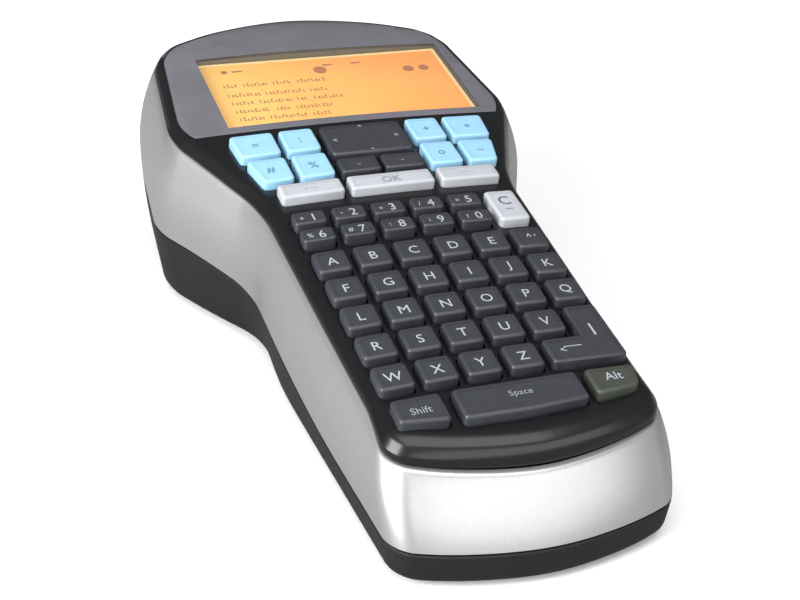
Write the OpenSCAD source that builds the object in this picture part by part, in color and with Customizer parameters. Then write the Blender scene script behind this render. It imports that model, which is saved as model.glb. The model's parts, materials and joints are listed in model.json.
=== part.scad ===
// Hand-held label maker: an assembly of separate pieces.
// Units are millimetres. +Z is up, the keyboard end points towards -Y and the display
// end towards +Y. The origin is on the table, under the middle of the body.

/* [Overall size] */
// Overall length, keyboard end to display end
body_l = 198; // [165:1:238]
// Width across the shoulders of the display end, before they are rounded
head_w = 102; // [94:1:123]
// Width of the handle where it meets the neck, before it is rounded
handle_w = 70; // [64:1:84]
// How much narrower the handle is at the keyboard end
handle_taper = 4.5; // [0:0.5:8]
// Height of the silver edge above the table at the keyboard end
front_h = 25; // [24:0.5:30]
// Slope of the face, in degrees
face_tilt = 8.6; // [8:0.1:10.5]

/* [Outline] */
// From the display end back to the corners of the shoulders
shoulder_from_end = 59.3; // [52:0.1:66]
// From the display end back to the inner corners of the neck
neck_from_end = 86.3; // [80:0.1:94]
// Rounding of the shoulders
shoulder_r = 22; // [12:1:24]
// Rounding of the neck
neck_r = 25; // [12:1:28]
// How far the keyboard end bows out
front_bow = 7.9; // [5:0.1:10]
// Rounding of the corners at the keyboard end
front_corner_r = 8; // [5:0.5:9]
// How far the display end bows out
rear_bow = 14.6; // [10:0.1:17]
// How much narrower each side is at the display end than at the shoulders
rear_taper = 5; // [0:0.5:8]
// Rounding of the corners at the display end
rear_corner_r = 14; // [8:0.5:16]
// How far the keyboard end leans back over the height of the silver shell
front_lean = 8.8; // [4:0.1:10]

/* [Shells] */
// Wall of the two shells
wall = 2; // [1.6:0.1:2.6]
// Height of the seam between the shells along the keyboard end
seam_front_h = 9; // [7:0.5:11]
// Height of the seam between the shells round the display end
seam_head_h = 19.5; // [17:0.5:21]
// Thickness of the deck that the face plate sits on
deck_t = 2; // [1.6:0.1:2.4]
// Width of the deck's ledge inside the wall
ledge_w = 1.6; // [1.2:0.1:2]
// Thickness of the face plate
face_t = 4; // [3.4:0.1:4.8]
// Set-back of the face plate from the outer wall
face_inset = 1; // [0.6:0.1:1.4]
// Height of the rubber feet below the base
foot_h = 0.8; // [0.5:0.1:1.4]
// Radius of each foot
foot_r = 4; // [3:0.5:4.5]
// Height and set-back of the base's undercut bottom edge
undercut = 2; // [1:0.1:2.4]

/* [Keys] */
// Side margin between the handle's wall and the key columns
key_margin = 5; // [4.6:0.1:6]
// Gap between neighbouring key caps
cap_gap = 2; // [1.6:0.1:2.6]
// Gap between a cap and the edge of its opening
key_gap = 0.35; // [0.25:0.05:0.5]
// Height of the key caps above the face plate
key_rise = 2.3; // [1.6:0.1:2.8]
// Travel of every key
key_travel = 1; // [0.6:0.1:1.2]
// Pitch between the two rows of number keys
number_pitch = 7.05; // [6.6:0.05:7.6]
// From the keyboard end's edge to the near side of the bottom row
bottom_margin = 11.5; // [10.5:0.5:13]
// Gap between the number rows and the letter rows
number_gap = 3.5; // [2.5:0.1:4.5]
// From the display end to the start of the function keys
function_from_end = 97.3; // [95:0.1:99]
// Gap between the function keys and the number rows
function_gap = 6.3; // [5:0.1:7]
// Corner radius of the caps
cap_r = 1; // [0.5:0.1:1.4]

/* [Display] */
// Width of the display glass
lcd_w = 71; // [59:1:74]
// Length of the display glass down the slope
lcd_l = 36; // [28:1:38]
// How far the glass sits to the right of the middle
lcd_shift = 3; // [0:0.5:4]
// From the function keys' start to the display's near edge
lcd_from_function = 37; // [36:0.5:40]
// Thickness of the display window
window_t = 1.1; // [0.8:0.1:1.4]
// Set-back of the window from the face plate's edge
window_inset = 4.6; // [4:0.1:6]

/* [Tape and print unit] */
// Height of the tape cassette
cassette_h = 21; // [19:0.5:22]
// Length of the tape cassette
cassette_l = 52; // [43:1:54]
// Thickness of the chassis plate over the cassette
chassis_t = 1.6; // [1.2:0.1:2]
// Radius of the platen roller
platen_r = 4; // [3.3:0.1:4.2]
// Radius of the gear and lever posts
post_r = 1.5; // [1.2:0.1:1.6]
// Radial clearance of a running fit
run_gap = 0.05; // [0.03:0.01:0.08]
// Gap between pieces that don't touch
free_gap = 0.4; // [0.3:0.05:0.5]
// Travel of the cutter button
cutter_travel = 3.2; // [2.8:0.1:3.2]

/* [Battery] */
// Width of the battery pack
battery_w = 46; // [38:1:48]
// Length of the battery pack
battery_l = 58; // [48:1:58]
// Height of the battery pack
battery_h = 12.5; // [10:0.5:13]

/* [Sockets] */
// Radius of the power socket's bore
jack_r = 2.75; // [2.5:0.05:3]
// Depth of the power socket's bore
jack_depth = 9; // [8:0.5:10]
// Width of the data socket
usb_w = 7.6; // [7:0.1:8.5]

/* [Hidden] */
$fn = 48;
arc_steps = 5;
big = 400;
eps = 0.01;

// ---- Colours ----
silver = [0.78, 0.78, 0.77];
black = [0.08, 0.08, 0.09];
charcoal = [0.17, 0.18, 0.20];
sky_blue = [0.55, 0.80, 0.93];
pale_grey = [0.68, 0.69, 0.71];

// ---- Places that the pieces share ----
front_y = -body_l / 2;
rear_y = body_l / 2;
seat_front_y = front_y + front_lean;
seat_z0 = front_h - tan(face_tilt) * seat_front_y;   // height of the seat plane over the origin
lean_a = atan(front_lean / (front_h - seam_front_h));
floor_z = foot_h + wall;                              // inner floor of the base
front_half_w = (handle_w - handle_taper) / 2;
rear_half_w = head_w / 2 - rear_taper;
cap_top = face_t + key_rise;

// Height of the seat plane over a place y
function seat_z(y) = seat_z0 + tan(face_tilt) * y;

// ---- Outline ----
// A corner list runs counter-clockwise, each corner being [x, y, rounding].
function arc_corner_r(x, rise, run) = x / tan(atan(rise / run) / 2);
front_arc_x = 0.43 * front_half_w;
rear_arc_x = 0.36 * rear_half_w;
function half_outline(y0) = [
    [front_arc_x, y0, arc_corner_r(front_arc_x, front_bow, front_half_w - front_arc_x)],
    [front_half_w, y0 + front_bow, front_corner_r],
    [handle_w / 2, rear_y - neck_from_end, neck_r],
    [head_w / 2, rear_y - shoulder_from_end, shoulder_r],
    [rear_half_w, rear_y - rear_bow, rear_corner_r],
    [rear_arc_x, rear_y, arc_corner_r(rear_arc_x, rear_bow, rear_half_w - rear_arc_x)]
];
// The open shape that leans the keyboard end back; it is wider than the body past the front
function half_front() = [
    [front_arc_x, front_y, arc_corner_r(front_arc_x, front_bow, front_half_w - front_arc_x)],
    [front_half_w, front_y + front_bow, front_corner_r],
    [front_half_w + handle_taper * 0.2, front_y + body_l * 0.2, 1],
    [big, front_y + body_l * 0.2 + 20, 1],
    [big, big, 1]
];
function whole(half) = concat(half, [for (i = [len(half) - 1 : -1 : 0]) [-half[i].x, half[i].y, half[i].z]]);

function unit2(v) = v / norm(v);
function xy(p) = [p.x, p.y];
function side_n(a, b) = let (d = unit2(b - a)) [d.y, -d.x];
function meet(p, d, q, e) = p + d * (cross(q - p, e) / cross(d, e));
// Moves every side of a corner list inwards by g
function inset(c, g) = [
    for (i = [0 : len(c) - 1])
        let (a = xy(c[(i + len(c) - 1) % len(c)]), b = xy(c[i]), n = xy(c[(i + 1) % len(c)]),
             m = meet(b - side_n(a, b) * g, b - a, b - side_n(b, n) * g, n - b),
             turn = cross(b - a, n - b))
        [m.x, m.y, max(0.3, c[i].z - sign(turn) * g)]
];
// Rounds a corner list into polygon points, with k steps in each corner
function rounded(c, k = arc_steps) = [
    for (i = [0 : len(c) - 1])
        let (a = xy(c[(i + len(c) - 1) % len(c)]), b = xy(c[i]), n = xy(c[(i + 1) % len(c)]),
             u = unit2(b - a), v = unit2(n - b), turn = atan2(cross(u, v), u * v), s = sign(turn),
             t = c[i].z * tan(abs(turn) / 2), o = b - u * t + [-u.y, u.x] * s * c[i].z,
             r0 = b - u * t - o)
        for (j = [0 : k])
            let (w = turn * j / k)
            o + [r0.x * cos(w) - r0.y * sin(w), r0.x * sin(w) + r0.y * cos(w)]
];
function rect(x0, y0, x1, y1, r) = [[x0, y0, r], [x1, y0, r], [x1, y1, r], [x0, y1, r]];

// ---- Shared shapes ----
// Puts children into the face frame: its XY plane is the seat plane, +Z its outward normal
module on_face() {
    translate([0, 0, seat_z0]) rotate([face_tilt, 0, 0]) children();
}
// The vertical prism of the outline, with its keyboard end at y0 and its sides moved in by g
module outline_prism(g, y0, z0, z1) {
    translate([0, 0, z0]) linear_extrude(z1 - z0) polygon(rounded(inset(whole(half_outline(y0)), g)));
}
// The body's solid form above the table, with every side moved in by g
module body_form(g, z0) {
    intersection() {
        outline_prism(g, front_y, z0, big / 4);
        translate([0, -seam_front_h * tan(lean_a), 0])
            rotate([-lean_a, 0, 0])
                translate([0, 0, -big / 2])
                    linear_extrude(big)
                        polygon([for (p = rounded(inset(whole(half_front()), g))) [p.x, p.y * cos(lean_a)]]);
    }
}
// The band between two heights over the seat plane
module face_slab(w0, w1) {
    on_face() translate([-big / 2, -big / 2, w0]) cube([big, big, w1 - w0]);
}
// Height of the seam between the shells at y: low along the handle, rising through the neck
seam_from_y = rear_y - neck_from_end - 72;
seam_to_y = rear_y - neck_from_end + 22;
function seam_z(y) = seam_front_h + (seam_head_h - seam_front_h)
    * (1 - cos(180 * min(1, max(0, (y - seam_from_y) / (seam_to_y - seam_from_y))))) / 2;
// The space below the seam
module below_seam() {
    seam_steps = 12;
    rotate([90, 0, 90]) translate([0, 0, -big / 2]) linear_extrude(big)
        polygon(concat(
            [[-big / 2, -big / 8], [-big / 2, seam_front_h]],
            [for (i = [0 : seam_steps])
                let (y = seam_from_y + (seam_to_y - seam_from_y) * i / seam_steps) [y, seam_z(y)]],
            [[big / 2, seam_head_h], [big / 2, -big / 8]]));
}
module tube(r_out, r_in, z0, z1) {
    difference() {
        translate([0, 0, z0]) cylinder(r = r_out, h = z1 - z0);
        translate([0, 0, z0 - 1]) cylinder(r = r_in, h = z1 - z0 + 2);
    }
}

// ---- Housing screws ----
screw_r = 1.25;
screw_head_r = 2.4;
screw_head_h = 1.8;
boss_r = 3.3;
post_drop = 0.6;                                      // from the deck down to the tops of the posts
web_t = 3;                                            // thickness of the webs from the posts to the wall
mid_screw_y = rear_y - neck_from_end - 20;
screw_places = [
    for (s = [-1, 1]) [s * (front_half_w - 9), front_y + 11.5],
    for (s = [-1, 1]) [s * (handle_w / 2 - wall - boss_r - 0.3), mid_screw_y],
    for (s = [-1, 1]) [s * (rear_arc_x + 5), rear_y - 10.5]
];
boss_join_z = seam_front_h - 1;                       // where the base's bosses end
screw_len = 12;
screw_sink = 0.4;                                     // depth of a screw's head in its hole
foot_sink = 0.8;                                      // depth of a rubber foot in its hole

// ---- Tape cassette, its bay and the print unit ----
bay_gap = 0.5;
cassette_x1 = head_w / 2 - 25;
cassette_x0 = -(head_w / 2 - 17);
cassette_y1 = rear_y - 18.5;
cassette_y0 = cassette_y1 - cassette_l;
cassette_z0 = floor_z + free_gap + 0.4;
cassette_z1 = cassette_z0 + cassette_h;
chassis_z = cassette_z1 + 1.2;                        // underside of the chassis plate
case_t = 1.2;                                         // wall of the cassette

// Gear train, from the motor's pinion to the ribbon drive
gear_m = 0.5;                                         // gear module
pinion_teeth = 12;
big_teeth = 44;
small_teeth = 14;
platen_teeth = 40;
idler_teeth = 24;
ribbon_teeth = 32;
mesh_gap = 0.1;
function centre_dist(a, b) = (a + b) * gear_m / 2 + mesh_gap;
function along(p, d, a) = p + d * [cos(a), sin(a)];
motor_at = [head_w / 2 - 15, rear_y - 61];
reduction_dir = 102;
platen_dir = 85;
idler_dir = 168;
ribbon_dir = 180;
reduction_at = along(motor_at, centre_dist(pinion_teeth, big_teeth), reduction_dir);
platen_at = along(reduction_at, centre_dist(small_teeth, platen_teeth), platen_dir);
idler_at = along(platen_at, centre_dist(platen_teeth, idler_teeth), idler_dir);
ribbon_at = along(idler_at, centre_dist(idler_teeth, ribbon_teeth), ribbon_dir);
gear_t = 2;
gear_hub_r = 2.6;
bearing_t = 1.6;                                      // wall and height of the platen's lower bearing
bearing_h = 2;
bearing_floor = 0.6;
low_gear_z = chassis_z + chassis_t + free_gap;
high_gear_z = low_gear_z + gear_t + free_gap;
gear_top_z = high_gear_z + gear_t;
// A gear's turn, so that its teeth interleave with those of the gear it meshes with
function mesh_turn(dir, driver_turn, driver_teeth, teeth) =
    let (pitch = 360 / driver_teeth, past = (dir - driver_turn) / pitch, f = past - floor(past))
    dir + 180 + (f + 0.5) * 360 / teeth;
pinion_turn = reduction_dir;
big_turn = mesh_turn(reduction_dir, pinion_turn, pinion_teeth, big_teeth);
small_turn = platen_dir;
platen_turn = mesh_turn(platen_dir, small_turn, small_teeth, platen_teeth);
idler_turn = mesh_turn(idler_dir, platen_turn, platen_teeth, idler_teeth);
ribbon_turn = mesh_turn(ribbon_dir, idler_turn, idler_teeth, ribbon_teeth);

module spur(teeth, turn, bore_r) {
    r = teeth * gear_m / 2;
    tip = r + 0.9 * gear_m;
    root = r - 1.15 * gear_m;
    pitch = 360 / teeth;
    root_share = 0.26;
    tip_share = 0.11;
    corners = [[root, -root_share], [tip, -tip_share], [tip, tip_share], [root, root_share]];
    linear_extrude(gear_t) difference() {
        polygon([
            for (i = [0 : teeth - 1], c = corners)
                let (a = turn + (i + c[1]) * pitch) c[0] * [cos(a), sin(a)]
        ]);
        circle(r = bore_r);
    }
}

// Print head, between the cassette and the platen
head_face_x = platen_at.x - platen_r - 0.35;
head_t = 1.3;
lever_t = 1.4;
lever_at = [cassette_x1 + 3.8, platen_at.y - 17.5];
lever_z0 = floor_z + 2;
lever_z1 = chassis_z - 0.8;
head_len = 10;
tape_x = platen_at.x - platen_r;                     // the plane that the tape runs in

// Cutter, past the platen
cutter_y = platen_at.y + platen_r + 6;
cutter_z = cassette_z0 + cassette_h / 2;
blade_past_tape = 1;                                   // how far a pressed cutter passes the tape
blade_rest_x = tape_x + cutter_travel - blade_past_tape;
rod_w = 4;
button_w = 8;
button_h = 14;
// Where the side wall is at the cutter
function side_x(y) = head_w / 2
    - rear_taper * (y - (rear_y - shoulder_from_end)) / (shoulder_from_end - rear_bow);
button_stand = 1.6;                                   // how far the button stands out of the wall
button_face_x = side_x(cutter_y) + button_stand;
column_r = 2.8;
// Columns that the chassis plate is screwed to
chassis_places = [
    [cassette_x0 - 4.4, cassette_y0 + 12],
    [cassette_x0 - 4.4, cassette_y1 - 8],
    [side_x(platen_at.y + 2) - wall - 3.6, platen_at.y + 2],
    [12, cassette_y1 + 4.2]
];

// Label exit, through the wall at the display end
exit_w = 5;
exit_z0 = floor_z + 1.6;
exit_z1 = seam_head_h - 1.5;

// ---- Battery and its bay ----
battery_y0 = front_y + 20;
battery_y1 = battery_y0 + battery_l;
battery_z0 = floor_z + free_gap + 0.4;
rib_t = 1.4;
rib_gap = 0.5;

// ---- Doors in the base ----
door_gap = 0.35;
swing_gap = 0.8;                                      // room in front of a door for its edge to swing
door_t = wall;
hinge_r = 1.7;
hinge_pin_r = 0.9;
hinge_z = foot_h + hinge_r;
knuckle_l = 8;
tongue_h = 0.6;                                       // snap tongue on a door's free edge
ear_t = 2;
// A door is [x0, x1, y0, y1] of its opening, hinged along its y0 edge
cassette_bay = [cassette_x0 - bay_gap, cassette_x1 + bay_gap, cassette_y0 - bay_gap, cassette_y1 + bay_gap];
battery_bay_x = battery_w / 2 + rib_gap;
battery_bay = [-battery_bay_x, battery_bay_x, battery_y0 - rib_gap, battery_y1 + rib_gap];
function hinge_y(bay) = bay[2] - hinge_r - 0.2;
function knuckle_x(bay, s) = s < 0 ? bay[0] + 6 : bay[1] - 6 - knuckle_l;

// The hole that a door and its hinge need in the floor
module door_hole(bay) {
    translate([bay[0], bay[2] - swing_gap, -1])
        cube([bay[1] - bay[0], bay[3] - bay[2] + swing_gap, floor_z + 2]);
    for (s = [-1, 1])
        translate([knuckle_x(bay, s) - door_gap, hinge_y(bay) - hinge_r - door_gap, -1])
            cube([knuckle_l + 2 * door_gap, 2 * hinge_r + 2 * door_gap + 1, floor_z + 2.4]);
}
// The base's hinge ears and pins, one pair of ears for each knuckle
module hinge_ears(bay) {
    for (s = [-1, 1]) {
        x = knuckle_x(bay, s);
        for (e = [x - door_gap - ear_t, x + knuckle_l + door_gap])
            translate([e, hinge_y(bay) - hinge_r, floor_z - eps])
                cube([ear_t, 2 * hinge_r, hinge_z + hinge_r - floor_z]);
        translate([x - door_gap - ear_t / 2, hinge_y(bay), hinge_z])
            rotate([0, 90, 0]) cylinder(r = hinge_pin_r, h = knuckle_l + 2 * door_gap + ear_t);
    }
}
// A door: a plate in its opening, with two knuckles that turn on the base's pins
module door(bay) {
    tongue_l = 10;
    tongue_t = 1.2;
    notch_r = 4;
    notch_d = 0.6;
    mid_x = (bay[0] + bay[1]) / 2;
    difference() {
        union() {
            translate([bay[0] + door_gap, bay[2] + door_gap, foot_h])
                cube([bay[1] - bay[0] - 2 * door_gap, bay[3] - bay[2] - 2 * door_gap, door_t]);
            for (s = [-1, 1]) {
                translate([knuckle_x(bay, s), hinge_y(bay), hinge_z])
                    rotate([0, 90, 0]) cylinder(r = hinge_r, h = knuckle_l);
                translate([knuckle_x(bay, s), hinge_y(bay), foot_h])
                    cube([knuckle_l, bay[2] - hinge_y(bay) + 2, 1.3]);
            }
            // snap tongue at the free edge
            translate([mid_x - tongue_l / 2, bay[3] - door_gap - tongue_t, foot_h + door_t - eps])
                cube([tongue_l, tongue_t, tongue_h]);
        }
        for (s = [-1, 1])
            translate([knuckle_x(bay, s) - 1, hinge_y(bay), hinge_z])
                rotate([0, 90, 0]) cylinder(r = hinge_pin_r + run_gap, h = knuckle_l + 2);
        // finger notch
        translate([mid_x, bay[3] - door_gap - notch_r - 1, foot_h - notch_d])
            cylinder(r = notch_r, h = 2 * notch_d);
    }
}

// ---- Keys ----
// Key places are in the face frame: x across, v up the slope
col_pitch = (handle_w - 2 * key_margin) / 6;
cap_w = col_pitch - cap_gap;
face_rear_v = rear_y / cos(face_tilt);
face_front_v = seat_front_y / cos(face_tilt);
function_v = face_rear_v - function_from_end;
number_cap_l = number_pitch - 1.4;
number_top_v = function_v - function_gap - number_cap_l / 2;
row_gap = cap_gap + 0.3;
// The six lower rows share what is left between the number rows and the keyboard end
rows_l = number_top_v - number_pitch - number_cap_l / 2 - number_gap - face_front_v - bottom_margin;
row_pitch = (rows_l + row_gap) / 6;
cap_l = row_pitch - row_gap;
bottom_v = face_front_v + bottom_margin + cap_l / 2;
key_r = min(cap_r, cap_l / 4);
function col_x(i) = (i - 2.5) * col_pitch;
function row_v(i) = bottom_v + (5 - i) * row_pitch;      // row 0 is the letters' top row
number_v = [number_top_v, number_top_v - number_pitch];
flange_w = 0.6;
flange_t = 0.8;
flange_play = 0.35;                                       // between a flange and the plate over it
key_foot_w = -flange_play - flange_t;                     // lowest level of a key at rest

function cap(i, v, l = undef) = let (c = is_undef(l) ? cap_l : l)
    rect(col_x(i) - cap_w / 2, v - c / 2, col_x(i) + cap_w / 2, v + c / 2, key_r);

number_caps = [for (v = number_v, i = [0 : 4]) cap(i, v, number_cap_l)];
row_caps = [
    [for (i = [0 : 4]) cap(i, row_v(0))],
    [for (i = [0 : 5]) cap(i, row_v(1))],
    [for (i = [0 : 5]) cap(i, row_v(2))],
    [for (i = [0 : 4]) cap(i, row_v(3))],
    [for (i = [0 : 3]) cap(i, row_v(4))]
];
special_cap = cap(5, row_v(0));
clear_cap = rect(col_x(5) - cap_w / 2, number_v[1] - number_cap_l / 2,
                 col_x(5) + cap_w / 2, number_v[0] + number_cap_l / 2, key_r);
enter_cap = [
    [col_x(4) - cap_w / 2, row_v(4) - cap_l / 2, key_r],
    [col_x(5) + cap_w / 2, row_v(4) - cap_l / 2, key_r],
    [col_x(5) + cap_w / 2, row_v(3) + cap_l / 2, key_r],
    [col_x(5) - cap_w / 2, row_v(3) + cap_l / 2, key_r],
    [col_x(5) - cap_w / 2, row_v(4) + cap_l / 2, key_r / 2],
    [col_x(4) - cap_w / 2, row_v(4) + cap_l / 2, key_r]
];
// The bottom row follows the bow of the keyboard end. Its caps are drawn in by a trim at their
// far side and at the row's two ends, and their near side reaches out by a share of the bow.
bow = 2.4;
bow_r = 40;
trim = 0.6;
bottom_near_v = bottom_v - cap_l / 2;
bottom_far_v = bottom_v + cap_l / 2 - trim;
shift_x0 = col_x(0) - cap_w / 2 + trim;
shift_x1 = col_x(1) - col_pitch / 2 + 2.6;
space_x0 = col_x(1) + 0.2;
space_x1 = col_x(4) - 1;
alt_x0 = col_x(4) + 1.2;
alt_x1 = col_x(5) + cap_w / 2 - 0.4;
alt_near_x1 = alt_x1 - 1.8;                               // the corner follows the body's corner
shift_cap = [
    [shift_x0, bottom_near_v + 0.4, key_r],
    [shift_x1, bottom_near_v - bow * 0.6, key_r],
    [shift_x1, bottom_far_v, key_r],
    [shift_x0, bottom_far_v, key_r]
];
space_cap = [
    [space_x0, bottom_near_v - bow * 0.8, key_r],
    [0, bottom_near_v - bow, bow_r],
    [space_x1, bottom_near_v - bow * 0.6, key_r],
    [space_x1, bottom_far_v, key_r],
    [space_x0, bottom_far_v, key_r]
];
alt_cap = [
    [alt_x0, bottom_near_v - bow * 0.4, key_r],
    [alt_near_x1, bottom_near_v + trim, key_r * 2],
    [alt_x1, bottom_far_v, key_r],
    [alt_x0, bottom_far_v, key_r]
];
// Function keys: blue keys in two blocks, a grey key under each block and one in the middle
mid_half = 11;                                            // half the width of the middle block
fn_gap = 1.6;
grey_l = 6;
grey_past = 5.4;                                          // reach of a grey key past the inner blue keys
blue_l = 10.1;
blue_inner_w = 9;
dark_l = 6.4;
dark_half_gap = 0.6;
fn_r = key_r * 0.8;
blue_v = [function_v + grey_l + fn_gap, function_v + grey_l + 2 * fn_gap + blue_l];
dark_v = function_v + grey_l + fn_gap;
inner_x0 = mid_half + fn_gap + 0.2;
outer_x0 = inner_x0 + blue_inner_w + fn_gap;
// The outer blue keys' outer edge starts inside the deck's ledge and follows the neck outwards
neck_slope = (head_w - handle_w) / 2 / (neck_from_end - shoulder_from_end);
ledge_gap = 0.2;
outer_edge = [for (along_neck = [0, 3.7, 4.6, 6.1])
    handle_w / 2 - wall - ledge_w - ledge_gap + along_neck * neck_slope];
function flip(c) = [for (i = [len(c) - 1 : -1 : 0]) [-c[i].x, c[i].y, c[i].z]];
function blue_inner(k) = rect(inner_x0, blue_v[k], inner_x0 + blue_inner_w, blue_v[k] + blue_l, key_r);
function blue_outer(k) = [
    [outer_x0, blue_v[k], key_r],
    [outer_edge[2 * k], blue_v[k], key_r],
    [outer_edge[2 * k + 1], blue_v[k] + blue_l, key_r],
    [outer_x0, blue_v[k] + blue_l, key_r]
];
grey_outer = rect(inner_x0, function_v, outer_x0 + grey_past, function_v + grey_l, fn_r);
grey_middle = rect(-mid_half, function_v, mid_half, function_v + grey_l, fn_r);
dark_caps = [
    rect(-mid_half, dark_v, -dark_half_gap, dark_v + dark_l, fn_r),
    rect(dark_half_gap, dark_v, mid_half, dark_v + dark_l, fn_r)
];
nav_cap = rect(-mid_half, dark_v + dark_l + fn_gap, mid_half, blue_v[1] + blue_l, key_r * 1.4);

all_caps = concat(number_caps, row_caps[0], row_caps[1], row_caps[2], row_caps[3], row_caps[4],
    [special_cap, clear_cap, enter_cap, shift_cap, space_cap, alt_cap],
    [for (k = [0, 1]) blue_inner(k)], [for (k = [0, 1]) flip(blue_inner(k))],
    [for (k = [0, 1]) blue_outer(k)], [for (k = [0, 1]) flip(blue_outer(k))],
    [grey_outer, flip(grey_outer), grey_middle], dark_caps, [nav_cap]);

// Middle of a corner list
function centre(c) = let (x = [for (p = c) p.x], y = [for (p = c) p.y])
    [(min(x) + max(x)) / 2, (min(y) + max(y)) / 2];
// Moves a cap's near and far edges out by f, for the flange that holds it under the plate
function flanged(c, f) = let (m = centre(c)) [for (p = c) [p.x, p.y + (p.y > m.y ? f : -f), p.z]];

// One or more keys: a cap that stands through the plate, with a flange under it
module keys(caps, top = cap_top) {
    on_face() for (c = caps) union() {
        translate([0, 0, key_foot_w]) linear_extrude(flange_t) polygon(rounded(flanged(c, flange_w), 2));
        translate([0, 0, key_foot_w + flange_t / 2]) linear_extrude(top - key_foot_w - flange_t / 2)
            polygon(rounded(c, 2));
    }
}

// ---- Board and rubber mat under the keys ----
dome_h = 0.45;
dome_r = 2;
dome_gap = 0.25;                                          // left under a pressed key
mat_top_w = key_foot_w - key_travel - dome_h - dome_gap;
mat_t = 0.8;
board_top_w = mat_top_w - mat_t;
board_t = 1.6;
board_front_v = face_front_v + 7;
board_rear_v = function_v + 32.5;
board_screw_places = [
    for (s = [-1, 1]) [s * (front_half_w - 8.5), face_front_v + 30],
    for (s = [-1, 1]) [s * (handle_w / 2 - 9.5), function_v - 2]
];
post_clear = 0.6;                                         // between a housing post and the parts round it
inner_screw_r = 0.9;
inner_screw_head_r = 1.7;
inner_screw_head_h = 1.2;
clear_hole = 0.2;                                         // radial play of a screw's through hole
// Space round the housing posts that the board and mat leave free
module post_space(r) {
    for (p = screw_places) translate([p.x, p.y, -1]) cylinder(r = r, h = big / 4);
}
lcd_v0 = function_v + lcd_from_function;
lcd_x0 = lcd_shift - lcd_w / 2;
lcd_w0 = 0.4;                                             // levels of the glass over the seat plane
lcd_t = 2.2;
lcd_gap = 0.6;
backlight_w0 = -2.8;
backlight_set_back = 1;
window_past_lcd = 3;                                      // the window's near edge, short of the glass
window_gap = 0.15;
window_recess = 0.1;

// ---- Label slot, cutter hole and sockets ----
jack_at = [-13, 10.5];                                    // x and height of the power socket
usb_at = [1, 10];                                         // x and height of the data socket
jack_face_y = rear_y - 4.8;
usb_face_y = rear_y - 2.5;
jack_body = [9, jack_depth + 2.6, 8.8];
jack_hole_r = jack_r + 1.2;
usb_body = [usb_w, 9, 3.8];
usb_gap = [0.5, 0.4];
usb_shell_t = 0.4;

// ================= Pieces =================

module upper_shell() {
    color(silver) difference() {
        union() {
            difference() {
                intersection() {
                    body_form(0, 0);
                    face_slab(-big / 2, 0);
                }
                below_seam();
                intersection() {
                    body_form(wall, -1);
                    face_slab(-big / 2, -deck_t);
                }
                outline_prism(wall + ledge_w, seat_front_y, seam_front_h, big / 4);
            }
            // posts that the housing screws bite into
            intersection() {
                body_form(wall + 0.1, 0);
                face_slab(-big / 2, -deck_t - post_drop);
                for (p = screw_places)
                    translate([p.x, p.y, boss_join_z]) cylinder(r = boss_r, h = big / 4);
            }
            // bridges from the posts to the ledge or wall
            intersection() {
                body_form(wall / 2, 0);
                face_slab(-deck_t - post_drop - web_t, -deck_t - post_drop);
                for (p = screw_places) post_web(p);
            }
        }
        for (p = screw_places)
            translate([p.x, p.y, boss_join_z - 1]) cylinder(r = screw_r, h = screw_len - 2);
        label_slot();
        cutter_hole();
    }
}
// A web runs sideways from a post, or rearwards from the two at the display end
module post_web(p) {
    side_l = 12;
    rear_l = 16;
    if (p.y > mid_screw_y + eps)
        translate([p.x - boss_r, p.y, 0]) cube([2 * boss_r, rear_l, big / 4]);
    else
        translate([p.x < 0 ? p.x - side_l : p.x, p.y - boss_r, 0]) cube([side_l, 2 * boss_r, big / 4]);
}

module label_slot() {
    slot_l = 30;
    translate([tape_x - exit_w / 2, rear_y + 4 - slot_l, exit_z0]) cube([exit_w, slot_l, exit_z1 - exit_z0]);
}
module cutter_hole() {
    translate([side_x(cutter_y) - 12, cutter_y - button_w / 2 - free_gap, cutter_z - button_h / 2 - free_gap])
        cube([20, button_w + 2 * free_gap, button_h + 2 * free_gap]);
}
module base_shell() {
    color(black) difference() {
        union() {
            difference() {
                union() {
                    outline_prism(undercut, front_y, foot_h, foot_h + undercut + eps);
                    intersection() {
                        outline_prism(0, front_y, foot_h + undercut, big / 8);
                        below_seam();
                    }
                }
                outline_prism(wall + undercut, front_y, floor_z, floor_z + undercut + eps);
                outline_prism(wall, front_y, floor_z + undercut, big / 8);
                door_hole(cassette_bay);
                door_hole(battery_bay);
            }
            hinge_ears(cassette_bay);
            hinge_ears(battery_bay);
            // bosses for the housing screws
            for (p = screw_places)
                translate([p.x, p.y, foot_h]) cylinder(r = boss_r, h = boss_join_z - foot_h);
            battery_ribs();
            chassis_columns();
            platen_bearing();
            jack_cradle();
        }
        for (p = screw_places) {
            translate([p.x, p.y, -1]) cylinder(r = screw_r + clear_hole, h = boss_join_z + 2);
            translate([p.x, p.y, -1])
                cylinder(r = screw_head_r + 0.3, h = 1 + foot_h + screw_sink + screw_head_h);
        }
        for (p = foot_places) translate([p.x, p.y, -1]) cylinder(r = foot_r, h = 1 + foot_h + foot_sink);
        translate([platen_at.x, platen_at.y, floor_z + bearing_floor]) cylinder(r = post_r + run_gap, h = 20);
        for (p = chassis_places) translate([p.x, p.y, chassis_z - 5]) cylinder(r = inner_screw_r, h = 6);
        label_slot();
        cutter_hole();
        translate([jack_at.x, rear_y + 1, jack_at.y]) rotate([90, 0, 0]) cylinder(r = jack_hole_r, h = 20);
        translate([usb_at.x - usb_w / 2 - usb_gap.x, rear_y - 12, usb_at.y - usb_body.z / 2 - usb_gap.y])
            cube([usb_w + 2 * usb_gap.x, 14, usb_body.z + 2 * usb_gap.y]);
    }
}
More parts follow.
